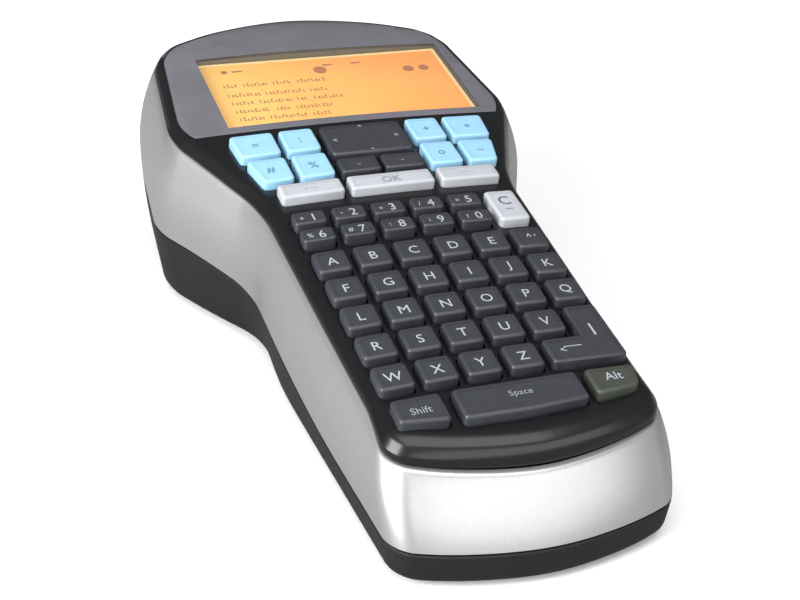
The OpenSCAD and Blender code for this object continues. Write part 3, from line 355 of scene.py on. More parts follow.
def drawn_metal(name: str, colour: str, roughness: float, grain_mm: float) -> Finish:
    """Bare metal with fine lines along the way it was drawn, rolled or ground."""
    return Finish(name, colour, roughness, metallic=1.0, grain=Grain.BRUSHED, grain_mm=grain_mm)


def ink(name: str, colour: str, mottle: float = 0.1) -> Finish:
    """A pad-printed ink: thin, satin and a little uneven."""
    return Finish(name, colour, 0.5, grain_mm=0.2, depth_mm=0.004, mottle=mottle, mottle_mm=1.5)


def charcoal(name: str, colour: str) -> Finish:
    """A painted and etched key cap: dark with a soft sheen."""
    return Finish(name, colour, 0.42, ior=1.52, grain=Grain.SPARKED, grain_mm=0.3, depth_mm=0.02, mottle=0.1,
                  mottle_mm=3.5, rough_spread=0.06)


def satin_cap(name: str, colour: str) -> Finish:
    """A coloured key cap: even satin plastic."""
    return Finish(name, colour, 0.4, ior=1.52, grain_mm=0.3, depth_mm=0.012, mottle=0.05, mottle_mm=4.0)


# Each record slot's finish. The comment says what the finish gives the eye.
FINISHES: dict[str, Finish] = {
    # satin silver paint over ABS: wide soft highlights, with a fine sparkle of light painted into the colour
    # of each flake
    "silver_paint": FlakePaint("ABS_silver_metallic_paint", "#B2B3B1", 0.33, metallic=0.8, grain_mm=0.5,
                               depth_mm=0.006, mottle=0.05, rough_spread=0.05),
    # ABS from a spark-eroded mould: dull black with a fine leathery grain
    "black_abs": Finish("ABS_black_sparked", "#101113", 0.6, ior=1.4, grain=Grain.SPARKED, grain_mm=0.55,
                        depth_mm=0.05, mottle=0.12, rough_spread=0.1),
    # glossy ABS: deep black that mirrors the room softly
    "black_gloss": Finish("ABS_black_gloss", "#07080A", 0.24, ior=1.46, coat=0.08, grain_mm=1.4,
                          depth_mm=0.004, mottle=0.1, rough_spread=0.04),
    # acrylic printed dark on the back: smoky grey under a clear shine
    "tinted_window": Finish("PMMA_smoke_printed", "#636168", 0.2, ior=1.49, coat=0.3, grain_mm=3.0,
                            depth_mm=0.004, mottle=0.12, mottle_mm=14.0, rough_spread=0.03),
    # liquid crystal cell over an amber light guide
    "lcd_amber": BacklitGlass("LCD_amber_backlit", "#D6A24A", 0.25, ior=1.52, grain=Grain.POLISHED,
                              mottle_mm=16.0, rough_spread=0.04, glow=0.3),
    # moulded acrylic light guide: milky, soft sheen
    "light_guide": Finish("PMMA_light_guide", "#F2EFE4", 0.3, ior=1.49, grain_mm=1.0, depth_mm=0.01),
    # polyimide film: amber brown, slightly streaky
    "flex_film": Finish("Polyimide_flex", "#B4742C", 0.35, ior=1.7, grain=Grain.BRUSHED, grain_mm=0.4),
    # moulded silicone: dull, slightly dusty dark grey
    "grey_silicone": Finish("Silicone_grey", "#4B4C50", 0.72, ior=1.41, grain_mm=0.3, depth_mm=0.01),
    # solder resist on glass fibre: glossy green with tracks
    "circuit_board": PrintedBoard("FR4_green_resist", "#12592F", 0.35, ior=1.55, coat=0.3, grain_mm=0.8),
    # zinc-plated steel: cool grey with fine turning marks
    "screw_steel": drawn_metal("Steel_zinc_plated", "#B9BCC0", 0.3, 0.2),
    # moulded rubber: nearly black, no shine
    "foot_rubber": Finish("Rubber_black", "#202022", 0.85, ior=1.52, grain_mm=0.25, depth_mm=0.02,
                          mottle=0.15),
    # PVC shrink wrap: smooth, with slow ripples
    "battery_wrap": Finish("PVC_shrink_wrap", "#3D4650", 0.28, ior=1.53, grain_mm=4.0, depth_mm=0.05),
    # sprung phosphor bronze: warm metal with rolling lines
    "contact_brass": drawn_metal("Phosphor_bronze", "#C79A4A", 0.26, 0.2),
    # polystyrene cassette: pale grey, faint sheen
    "cassette_plastic": Finish("Polystyrene_pale_grey", "#D6D8DA", 0.38, ior=1.59, grain_mm=0.6,
                               depth_mm=0.01),
    # laminated label tape on its roll: the edges of the turns show as rings
    "label_tape": Finish("PET_label_tape", "#F4F4F0", 0.4, ior=1.57, grain=Grain.WOUND, grain_mm=0.5,
                         depth_mm=0.03, mottle=0.03),
    # thermal ribbon on its spool: black film with rings
    "ribbon_film": Finish("PET_ribbon_black", "#1B1B20", 0.25, ior=1.57, grain=Grain.WOUND, grain_mm=0.4,
                          depth_mm=0.02),
    # pressed galvanised sheet: spangled grey
    "chassis_steel": Finish("Steel_galvanised_sheet", "#A9AEB3", 0.36, metallic=1.0, grain_mm=2.5,
                            depth_mm=0.006, mottle=0.12, mottle_mm=4.0),
    # drawn steel can: smooth with faint lines round it
    "motor_steel": drawn_metal("Steel_motor_can", "#9A9EA3", 0.28, 0.3),
    # acetal: waxy off-white
    "gear_acetal": Finish("Acetal_natural", "#E9E7DE", 0.42, ior=1.48, grain_mm=0.5, depth_mm=0.008),
    # ground nitrile rubber: dull dark grey with fine grinding marks
    "platen_rubber": Finish("Nitrile_rubber_ground", "#2C2C2E", 0.7, ior=1.52, grain_mm=0.2, depth_mm=0.015),
    # glazed ceramic: hard white shine
    "head_ceramic": Finish("Ceramic_glazed", "#E6E4DE", 0.12, ior=1.6, coat=0.4, grain_mm=2.0,
                           depth_mm=0.003),
    # moulded ABS in charcoal: satin
    "charcoal_abs": Finish("ABS_charcoal", "#2B2D31", 0.45, ior=1.52, grain_mm=0.35, depth_mm=0.015),
    # hardened strip steel: bright with grinding lines
    "blade_steel": drawn_metal("Steel_hardened_blade", "#C9CDD1", 0.18, 0.15),
    # nickel-plated shell of a socket
    "socket_steel": Finish("Nickel_plated_shell", "#BDBFC2", 0.22, metallic=1.0, grain_mm=0.5,
                           depth_mm=0.003),
    # painted and etched key caps: charcoal with a soft sheen
    "key_charcoal": charcoal("ABS_key_charcoal", "#2F3137"),
    # light blue caps: even satin plastic
    "key_blue": satin_cap("ABS_key_sky_blue", "#8DBAD6"),
    # light grey caps: even satin plastic
    "key_grey": satin_cap("ABS_key_light_grey", "#A9ABB1"),
}
# Finishes that no record slot has
WHITE_PRINT = ink("Ink_white_pad_print", "#9EA1A7", 0.08)
DARK_PRINT = ink("Ink_slate_pad_print", "#4F6F86")
FAINT_PRINT = ink("Ink_grey_pad_print", "#85888F")
SLATE_PRINT = ink("Ink_charcoal_pad_print", "#4A4E55")
# greenish grey cap beside the space key
GREEN_GREY_KEY = charcoal("ABS_key_green_grey", "#383C35")
# dark liquid crystal and its pale edge
LCD_SEGMENT = Finish("LCD_dark_segments", "#7A4C1C", 0.3, grain=Grain.POLISHED, mottle=0.15, mottle_mm=2.0)
LCD_ICON = Finish("LCD_dark_icons", "#8C3F1C", 0.3, grain=Grain.POLISHED, mottle=0.2, mottle_mm=2.0)
LCD_RIM = Finish("LCD_pale_rim", "#D9C08A", 0.35, grain=Grain.POLISHED, glow=0.15)
# acrylic left clear over the display
WINDOW_CLEAR = ClearPlastic("PMMA_clear_window", "#D8C8A8", 0.08, ior=1.49, grain=Grain.POLISHED, mottle=0.01,
                            rough_spread=0.01)


# ---------------------------------------------------------------- mesh helpers
def clamp(value: float) -> float:
    """A value kept between 0 and 1."""
    return min(1.0, max(0.0, value))


def smooth_step(value: float) -> float:
    """A share that leaves 0 and reaches 1 without a corner."""
    share = clamp(value)
    return share * share * (3 - 2 * share)


def corners_of(points: Iterable[Vector]) -> tuple[Vector, Vector]:
    """The lowest and highest corners of a group of points."""
    axes = list(zip(*points))
    return Vector([min(a) for a in axes]), Vector([max(a) for a in axes])


def add_object(name: str, data: bpy.types.ID) -> Piece:
    """Makes an object and links it to the scene.

    Args:
        name: Its name.
        data: Its mesh, curve, lamp or camera.

    Returns:
        The object.
    """
    made = bpy.data.objects.new(name, data)
    bpy.context.scene.collection.objects.link(made)
    return made


def box_mm(node: str) -> tuple[Vector, Vector]:
    """The lowest and highest corners of a CAD node at rest, in millimetres."""
    low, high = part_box(node)
    return low / MM, high / MM


def copy_node(node: str) -> Mesh:
    """A welded copy of a CAD node's mesh, its flat faces whole again.

    Args:
        node: The CAD node.

    Returns:
        The mesh, in millimetres.
    """
    bm = bmesh.new()
    bm.from_mesh(frame["nodes"][node].data)
    bmesh.ops.scale(bm, vec=(1 / MM,) * 3, verts=bm.verts)
    bmesh.ops.remove_doubles(bm, verts=bm.verts, dist=0.002)
    bmesh.ops.dissolve_degenerate(bm, edges=bm.edges, dist=0.002)
    bmesh.ops.dissolve_limit(bm, angle_limit=math.radians(0.5), verts=bm.verts, edges=bm.edges)
    return bm


def cube(bm: Mesh, low: Sequence[float], high: Sequence[float]) -> list[Vert]:
    """Adds a box.

    Args:
        bm: The mesh that it is added to.
        low: Its lowest corner.
        high: Its highest corner.

    Returns:
        Its vertices.
    """
    middle = (Vector(low) + Vector(high)) / 2
    size = Vector(high) - Vector(low)
    matrix = Matrix.Translation(middle) @ Matrix.Diagonal((*size, 1))
    return bmesh.ops.create_cube(bm, size=1, matrix=matrix)["verts"]


def rod(bm: Mesh, start: Sequence[float], end: Sequence[float], radius: float, sides: int = 40) -> None:
    """Adds a closed round rod between two points.

    Args:
        bm: The mesh that it is added to.
        start: Middle of its first end.
        end: Middle of its second end.
        radius: Its radius.
        sides: How many sides the circle has.
    """
    along = Vector(end) - Vector(start)
    turn = along.to_track_quat("Z", "Y").to_matrix().to_4x4()
    matrix = Matrix.Translation((Vector(start) + Vector(end)) / 2) @ turn
    bmesh.ops.create_cone(bm, cap_ends=True, segments=sides, radius1=radius, radius2=radius,
                          depth=along.length, matrix=matrix)


def bevel(bm: Mesh, edges: Iterable[bmesh.types.BMEdge], offset: float, segments: int = 3) -> None:
    """Rounds edges.

    Args:
        bm: The mesh.
        edges: The edges to round.
        offset: Width of the rounding.
        segments: Steps across it.
    """
    bmesh.ops.bevel(bm, geom=list(edges), offset=offset, offset_type="OFFSET", segments=segments, profile=0.5,
                    affect="EDGES", clamp_overlap=True, material=-1)


def sharp_edges(bm: Mesh, angle: float = 40.0) -> list[bmesh.types.BMEdge]:
    """The edges where two faces meet at more than an angle."""
    return [e for e in bm.edges if e.is_manifold and e.calc_face_angle(0.0) > math.radians(angle)]


def slice_grid(bm: Mesh, axis: Vector, low: float, high: float, step: float,
               flat: Vector | None = None) -> None:
    """Cuts a mesh by evenly spaced planes, so that it can bend.

    Args:
        bm: The mesh.
        axis: The planes' normal.
        low: Where the planes start.
        high: Where they end.
        step: Their spacing.
        flat: Where given, only faces that look this way are cut.
    """
    count = max(1, round((high - low) / step))
    for i in range(1, count):
        place = axis * (low + (high - low) * i / count)
        faces = [f for f in bm.faces if flat is None or f.normal.dot(flat) > 0.9995]
        edges = {e for f in faces for e in f.edges}
        verts = {v for e in edges for v in e.verts}
        bmesh.ops.bisect_plane(bm, geom=[*verts, *edges, *faces], dist=0.0005, plane_co=place, plane_no=axis)


def make_piece(name: str, bm: Mesh, finishes: Sequence[Finish], body: str = HOUSING,
               replaces: Sequence[str] = (), smooth: float = 35.0) -> None:
    """Turns a finished mesh into a piece that rides on a body.

    Args:
        name: The piece's name.
        bm: Its mesh, in millimetres; it is freed.
        finishes: Its materials, in the order of its faces' material numbers.
        body: The CAD body that it moves with.
        replaces: The CAD nodes that it stands for.
        smooth: Faces that meet at less than this angle are shaded as one.
    """
    bmesh.ops.scale(bm, vec=(MM,) * 3, verts=bm.verts)
    limit = math.radians(smooth)
    for face in bm.faces:
        face.smooth = True
    for edge in bm.edges:
        edge.smooth = edge.is_manifold and edge.calc_face_angle(0.0) < limit
    data = bpy.data.meshes.new(name)
    bm.to_mesh(data)
    bm.free()
    for finish in finishes:
        data.materials.append(finish.build())
    piece = add_object(name, data)
    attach(piece, body)
    if replaces:
        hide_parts(*replaces)
    LOG.info("%s: %d faces on %s", name, len(data.polygons), body)


def boolean(bm: Mesh, tool: Mesh, operation: str) -> Mesh:
    """Combines two closed meshes.

    Args:
        bm: The mesh that is kept; it is freed.
        tool: The mesh that cuts or joins it; it is freed.
        operation: DIFFERENCE, UNION or INTERSECT.

    Returns:
        The result.
    """
    made = []
    for mesh in (bm, tool):
        data = bpy.data.meshes.new("work")
        mesh.to_mesh(data)
        mesh.free()
        made.append(add_object("work", data))
    modifier = made[0].modifiers.new("cut", "BOOLEAN")
    modifier.operation = operation
    modifier.solver = "EXACT"
    modifier.use_self = True
    modifier.object = made[1]
    bpy.context.view_layer.update()
    result = bmesh.new()
    result.from_object(made[0], bpy.context.evaluated_depsgraph_get())
    for work in made:
        data = work.data
        bpy.data.objects.remove(work)
        bpy.data.meshes.remove(data)
    bmesh.ops.remove_doubles(result, verts=result.verts, dist=0.001)
    return result


def text_mesh(words: str, size: float) -> Mesh:
    """Letters as a thin plate in the XY plane, centred on the origin.

    Args:
        words: What is written.
        size: Height of the letters.

    Returns:
        The mesh, in millimetres.
    """
    curve = bpy.data.curves.new("letters", "FONT")
    curve.body = words
    curve.size = size / 0.7
    curve.extrude = 0.02
    curve.resolution_u = 3
    work = add_object("letters", curve)
    bpy.context.view_layer.update()
    data = bpy.data.meshes.new_from_object(work.evaluated_get(bpy.context.evaluated_depsgraph_get()))
    bm = bmesh.new()
    bm.from_mesh(data)
    bpy.data.objects.remove(work)
    bpy.data.curves.remove(curve)
    bpy.data.meshes.remove(data)
    bmesh.ops.remove_doubles(bm, verts=bm.verts, dist=0.0005)
    low, high = corners_of(v.co for v in bm.verts)
    bmesh.ops.translate(bm, vec=-(low + high) / 2, verts=bm.verts)
    return bm


def merge_into(target: Mesh, part: Mesh, matrix: Matrix) -> None:
    """Adds a mesh to another at a place.

    Args:
        target: The mesh that grows.
        part: The mesh that is added; it is freed.
        matrix: Its place.
    """
    bmesh.ops.transform(part, matrix=matrix, verts=part.verts)
    data = bpy.data.meshes.new("part")
    part.to_mesh(data)
    part.free()
    target.from_mesh(data)
    bpy.data.meshes.remove(data)


# ---------------------------------------------------------------- frames and outline
@dataclass(frozen=True)
class FaceFrame:
    """The sloping face, found from the direction in which the keys are pressed.

    Attributes:
        normal: Out of the face.
        seat: Height of the plate's seat along the normal.
    """

    normal: Vector
    seat: float

    @classmethod
    def from_model(cls) -> "FaceFrame":
        """Reads the face's slope from the keys' joints and its seat from the face plate.

        Returns:
            The frame.
        """
        press = next(j for j in frame["joints"] if j["child"] == "space_key")
        normal = -Vector(press["axis"]).normalized()
        seat = min(normal.dot(v.co) for v in frame["nodes"]["face_plate"].data.vertices) / MM
        return cls(normal, seat)

    @property
    def tilt(self) -> float:
        """The slope, in radians."""
        return math.atan2(-self.normal.y, self.normal.z)

    @property
    def matrix(self) -> Matrix:
        """From the face frame to the model's frame."""
        lift = self.seat / math.cos(self.tilt)
        return Matrix.Translation((0, 0, lift)) @ Matrix.Rotation(self.tilt, 4, "X")

    def height(self, y: float) -> float:
        """Height of the seat over a place y of the model's frame."""
        return (self.seat + math.sin(self.tilt) * y) / math.cos(self.tilt)

    def local(self, point: Vector) -> Vector:
        """A point of the model's frame in the face frame."""
        return self.matrix.inverted() @ point

    def span(self, node: str) -> tuple[Vector, Vector]:
        """The lowest and highest corners of a CAD node in the face frame."""
        back = self.matrix.inverted()
        return corners_of(back @ (v.co / MM) for v in frame["nodes"][node].data.vertices)


@dataclass
class Outline:
    """The body's outline from above: a narrow handle, a neck and a wide head, all with round corners.

    Each field is measured as its name says: lengths in millimetres, and arcs as shares of a half width.
    """

    handle_half: float = 35.0
    head_half: float = 51.0
    front_narrower: float = 2.25
    rear_narrower: float = 5.0
    shoulder_from_end: float = 59.3
    neck_from_end: float = 93.3
    front_bow: float = 7.9
    rear_bow: float = 14.6
    front_arc: float = 0.43
    rear_arc: float = 0.36
    front_corner_r: float = 8.0
    neck_r: float = 34.0
    shoulder_r: float = 22.0
    rear_corner_r: float = 19.0
    lean: float = 8.8
    lean_from_z: float = 9.0
    lean_to_z: float = 25.0
    longest_edge: float = 3.0
    front: float = field(init=False)
    rear: float = field(init=False)

    def __post_init__(self) -> None:
        """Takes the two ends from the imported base."""
        low, high = box_mm("base_shell")
        self.front, self.rear = low.y, high.y

    def corners(self) -> list[tuple[float, float, float]]:
        """The right-hand corners of the outline.

        Returns:
            From front to rear, x, y and the radius, which is 0 for a long bow.
        """
        front_half = self.handle_half - self.front_narrower
        rear_half = self.head_half - self.rear_narrower
        return [
            (self.front_arc * front_half, self.front, 0.0),
            (front_half, self.front + self.front_bow, self.front_corner_r),
            (self.handle_half, self.rear - self.neck_from_end, self.neck_r),
            (self.head_half, self.rear - self.shoulder_from_end, self.shoulder_r),
            (rear_half, self.rear - self.rear_bow, self.rear_corner_r),
            (self.rear_arc * rear_half, self.rear, 0.0),
        ]

    def face(self, bm: Mesh) -> bmesh.types.BMFace:
        """Draws the outline as one face, its corners rounded and its long sides divided.

        Args:
            bm: An empty mesh.

        Returns:
            The face.
        """
        half = self.corners()
        whole = half + [(-x, y, r) for x, y, r in reversed(half)]
        verts = [bm.verts.new((x, y, 0)) for x, y, _ in whole]
        bm.faces.new(verts)
        count = len(whole)
        for i, vert in enumerate(verts):
            here = Vector(whole[i][:2])
            before = Vector(whole[i - 1][:2]) - here
            after = Vector(whole[(i + 1) % count][:2]) - here
            turn = math.pi - before.angle(after)
            radius = whole[i][2]
            # a long bow's curve starts at the middle of the end and stops at the corner's rounding
            reach = radius * math.tan(turn / 2) if radius else abs(whole[i][0]) * 0.98
            steps = 14 if radius > 12 else 10
            bmesh.ops.bevel(bm, geom=[vert], offset=reach, offset_type="OFFSET", segments=steps, profile=0.5,
                            affect="VERTICES", clamp_overlap=True, material=-1)
        for edge in list(bm.edges):
            cuts = int(edge.calc_length() / self.longest_edge)
            if cuts:
                bmesh.ops.subdivide_edges(bm, edges=[edge], cuts=cuts)
        bm.faces.ensure_lookup_table()
        face = bm.faces[0]
        if face.normal.z < 0:
            face.normal_flip()
        return face

    def half_width(self, y: float) -> float:
        """Half the width, with the corners taken as sharp.

        Args:
            y: A place along the body.

        Returns:
            The distance from the middle line.
        """
        points = self.corners()
        for (x0, y0, _), (x1, y1, _) in zip(points, points[1:]):
            if y0 <= y <= y1:
                return x0 + (x1 - x0) * (y - y0) / (y1 - y0)
        return points[0][0] if y < self.front else points[-1][0]

    def lean_shift(self, y: float, z: float) -> float:
        """How far back the keyboard end leans, fading out along the handle.

        Args:
            y: A place along the body.
            z: A height.

        Returns:
            The shift along the body.
        """
        reach = 45.0
        share = clamp((self.front + self.front_bow + 6 + reach - y) / reach)
        rise = (z - self.lean_from_z) / (self.lean_to_z - self.lean_from_z)
        curve = max(0.0, rise) ** 1.15 if rise < 1 else 1.0 + (rise - 1.0) * 0.2
        return self.lean * curve * share


class Skin:
    """A wall that is drawn ring by ring from the outline.

    Each vertex keeps its place on the outline and the outward direction there, so that a ring is
    placed by an inset and a height alone.
    """

    def __init__(self, outline: Outline) -> None:
        """Starts with the outline's own ring.

        Args:
            outline: The outline.
        """
        self.bm = bmesh.new()
        face = outline.face(self.bm)
        home = self.bm.verts.layers.float_vector.new("home")
        out = self.bm.verts.layers.float_vector.new("out")
        loop = list(face.verts)
        for i, vert in enumerate(loop):
            along = loop[(i + 1) % len(loop)].co - loop[i - 1].co
            vert[home] = vert.co.copy()
            vert[out] = Vector((along.y, -along.x, 0)).normalized()
        self.first = list(face.edges)
        self.edges = list(face.edges)
        self.verts = loop
        bmesh.ops.delete(self.bm, geom=[face], context="FACES_ONLY")

    def put(self, place: Place) -> None:
        """Moves the newest ring.

        Args:
            place: Gives a vertex's place from its home and its outward direction.
        """
        home = self.bm.verts.layers.float_vector["home"]
        out = self.bm.verts.layers.float_vector["out"]
        for vert in self.verts:
            vert.co = place(vert[home], vert[out])

    def rise(self, place: Place) -> None:
        """Adds a ring and moves it.

        Args:
            place: Gives a vertex's place from its home and its outward direction.
        """
        made = bmesh.ops.extrude_edge_only(self.bm, edges=self.edges)["geom"]
        self.verts = [g for g in made if isinstance(g, Vert)]
        self.edges = [g for g in made if isinstance(g, bmesh.types.BMEdge)]
        self.put(place)

    def close_tube(self) -> None:
        """Joins the newest ring to the first, which makes a closed band."""
        bmesh.ops.bridge_loops(self.bm, edges=[*self.first, *self.edges])
        bmesh.ops.recalc_face_normals(self.bm, faces=self.bm.faces)

    def close_ends(self) -> None:
        """Closes the first and the newest ring with a face each."""
        for edges in (self.first, self.edges):
            bmesh.ops.contextual_create(self.bm, geom=edges)
        bmesh.ops.recalc_face_normals(self.bm, faces=self.bm.faces)


# ---------------------------------------------------------------- housing
@dataclass
class Housing:
    """The silver upper shell and the black base shell, with the seam between them.

    Attributes:
        outline: The body's outline.
        face: The sloping face.
        wall: Wall of both shells.
        ledge: Width of the wall's upper edge, on which the face plate sits.
        deck: Depth of the step inside it.
        seam_front: Height of the seam along the keyboard end.
        seam_head: Height of the seam round the display end.
        seam_rise_from: Where the seam starts to rise, measured from the display end.
        seam_rise_to: Where it stops.
        seam_gap: Gap between the shells at the seam.
        bulge: How far the head's sides stand out at their widest.
        handle_bulge: The same along the handle.
        neck_undercut: How much further in the base's lower edge lies at the neck.
        foot_inset: Set-back of the base's lower edge along the handle.
        foot_r: Rounding of that edge.
        groove: Set-back of the two edges at the seam.
        head_shoulder: Set-back of the wall's upper edge round the head.
        handle_shoulder: Set-back of the wall's upper edge along the handle.
        front_sill: How much lower the wall's upper edge is at the keyboard end.
        widest: Share of the height at which the wall stands out most.
        door_gap: Gap round a door.
        hinge_l: Length of a door's hinge knuckle.
        hinge_in: From the door's side to the knuckle.
        knuckle_back: From a door's hinged edge to the back of the knuckle's cut-out.
        leaf_from: From that edge to the leaf, which lies on the floor's outer face.
        exit_half: Half the width of the opening for the printed label.
        jack_r: Radius of the power socket's opening.
        foot_pad_r: Radius of a foot's seat.
        screw_head_r: Radius of a screw's counterbore.
        fitting_inset: How far inside the outline the fittings on the floor start.
        fitting_floor: Height from which they are drawn.
    """

    outline: Outline
    face: FaceFrame
    wall: float = 2.0
    ledge: float = 1.6
    deck: float = 2.0
    seam_front: float = 9.0
    seam_head: float = 19.5
    seam_rise_from: float = 158.3
    seam_rise_to: float = 64.3
    seam_gap: float = 0.15
    bulge: float = 1.2
    handle_bulge: float = 1.2
    neck_undercut: float = 3.0
    foot_inset: float = 0.6
    foot_r: float = 2.8
    groove: float = 0.35
    head_shoulder: float = 3.0
    handle_shoulder: float = 1.5
    front_sill: float = 1.5
    widest: float = 0.62
    door_gap: float = 0.35
    hinge_l: float = 8.0
    hinge_in: float = 5.65
    knuckle_back: float = 4.3
    leaf_from: float = 3.1
    exit_half: float = 2.5
    jack_r: float = 3.95
    foot_pad_r: float = 4.0
    screw_head_r: float = 2.7
    fitting_inset: float = 4.4
    fitting_floor: float = 2.7

    def seam(self, y: float) -> float:
        """Height of the seam, which rises in a long S along the handle.

        Args:
            y: A place along the body.

        Returns:
            The height.
        """
        start = self.outline.rear - self.seam_rise_from
        end = self.outline.rear - self.seam_rise_to
        share = clamp((y - start) / (end - start))
        return self.seam_front + (self.seam_head - self.seam_front) * (1 - math.cos(math.pi * share)) / 2

    def headness(self, y: float) -> float:
        """0 along the handle and 1 along the head, with a smooth change at the neck."""
        return smooth_step((y - (self.outline.rear - 100)) / 40)

    def frontness(self, y: float) -> float:
        """1 at the keyboard end, fading out along the handle."""
        return smooth_step((self.outline.front + 26 - y) / 18)

    def shoulder(self, y: float) -> float:
        """Set-back of the wall's upper edge.

        Args:
            y: A place along the body.

        Returns:
            The distance inwards.
        """
        head = self.headness(y)
        set_back = self.head_shoulder * head + self.handle_shoulder * (1 - head)
        return set_back * (1 - 0.7 * self.frontness(y))

    def stand_out(self, home: Vector, height: float) -> float:
        """How far the wall stands out at a share of the height from the table to the face.

        Args:
            home: The place on the outline.
            height: 0 at the table and 1 at the face.

        Returns:
            A distance, negative inwards.
        """
        head = self.headness(home.y)
        most = self.bulge * head + self.handle_bulge * (1 - head)
        widest = self.widest
        if height > widest:
            fall = ((height - widest) / (1 - widest)) ** 2.0
            return most - (most + self.shoulder(home.y)) * min(1.0, fall)
        fall = ((widest - height) / widest) ** 1.7
        past_neck = (home.y - (self.outline.rear - self.outline.neck_from_end)) / 16
        neck = self.neck_undercut * math.exp(-past_neck ** 2)
        return most - (most + self.foot_inset + 1.8 * head + neck) * fall

    def wall_place(self, height_of: Height, inset: float) -> Place:
        """A ring on the outer wall.

        Args:
            height_of: The ring's height at a place y.
            inset: How far inside the outer surface it lies.

        Returns:
            The function that places a vertex.
        """
        def place(home: Vector, out: Vector) -> Vector:
            """The place of one vertex, from its home on the outline and its outward direction.

            Args:
                home: Its home.
                out: Its outward direction.

            Returns:
                Its place.
            """
            z = height_of(home.y)
            top = self.face.height(home.y + self.outline.lean_shift(home.y, self.outline.lean_to_z))
            shift = self.outline.lean_shift(home.y, z)
            stand = self.stand_out(home, z / top)
            stand = min(stand, 0.0) + max(stand, 0.0) * abs(out.x) - inset
            return Vector((home.x + out.x * stand, home.y + out.y * stand + shift, z))
        return place

    def draw(self, skin: Skin, rings: Sequence[tuple[Height, float]]) -> None:
        """Draws a wall through rings that each have a height and an inset.

        Args:
            skin: The wall, with only its first ring.
            rings: For each ring, its height at a place y and how far inside the outer surface it lies.
        """
        skin.put(self.wall_place(*rings[0]))
        for ring in rings[1:]:
            skin.rise(self.wall_place(*ring))

    def top_of(self, y: float) -> float:
        """Height of the silver edge at a place y of the outline."""
        over = self.face.height(y + self.outline.lean_shift(y, self.outline.lean_to_z))
        return over - self.front_sill * self.frontness(y)

    @staticmethod
    def button_opening(tool: Mesh, depth: float) -> None:
        """Adds the box that cuts the cutter button's opening, which its rim overlaps above and below.

        Args:
            tool: The cutting mesh.
            depth: How far inwards it reaches from the button's face.
        """
        low, high = box_mm("cutter_button")
        side_gap, overlap, past = 0.4, 0.8, 9
        cube(tool, (high.x - depth, low.y - side_gap, low.z + overlap),
             (high.x + past, high.y + side_gap, high.z - overlap))

    def silver(self) -> None:
        """Builds the silver upper shell: a band with a ledge for the face plate."""
        skin = Skin(self.outline)
        low = self.seam

        def level(share: float) -> Height:
            """A height at a share of the way from the seam to the top."""
            return lambda y: low(y) + (self.top_of(y) - low(y)) * share

        def under(drop: float) -> Height:
            """A height under the top."""
            return lambda y: self.top_of(y) - drop

        self.draw(skin, [
            (lambda y: low(y) + self.seam_gap, self.groove + 0.1),
            (lambda y: low(y) + 0.5, 0.0),
            *[(level(share), 0.0) for share in (0.12, 0.24, 0.36, 0.48, 0.6, 0.7, 0.79, 0.87, 0.94)],
            (under(0.45), 0.05), (under(0.12), 0.2), (under(0.0), 0.5), (under(0.0), self.ledge),
            (under(self.deck), self.ledge), (under(self.deck + 0.01), self.wall), (level(0.5), self.wall),
            (lambda y: low(y) + self.seam_gap, self.wall),
        ])
        skin.close_tube()
        tool = bmesh.new()
        self.button_opening(tool, 6)
        bm = boolean(skin.bm, tool, "DIFFERENCE")
        make_piece("silver_shell", bm, [FINISHES["silver_paint"]], replaces=["upper_shell"])

    def base_tub(self) -> Mesh:
        """The base's floor and wall as one open tub with a round lower edge.

        Returns:
            The mesh, in millimetres.
        """
        skin = Skin(self.outline)
        foot, _ = box_mm("base_shell")
        floor = foot.z
        radius = self.foot_r
        def over(rise: float) -> Height:
            """A height over the floor's outer face."""
            return lambda y: floor + rise

        def between(share: float) -> Height:
            """A height at a share of the way from the rounded edge to the seam."""
            return lambda y: floor + radius + (self.seam(y) - floor - radius) * share

        arc = [math.radians(18 * step) for step in range(1, 6)]
        self.draw(skin, [
            (over(0.0), radius),
            *[(over(radius * (1 - math.cos(a))), radius * (1 - math.sin(a))) for a in arc],
            *[(between(share), 0.0) for share in (0.4, 0.7, 0.92)],
            (lambda y: self.seam(y) - 0.4, 0.0), (lambda y: self.seam(y) - 0.1, self.groove),
            (lambda y: self.seam(y) - 0.1, self.wall), (over(radius + 0.5), self.wall),
            (over(self.wall), self.wall + 2.2),
        ])
        skin.close_ends()
        return skin.bm

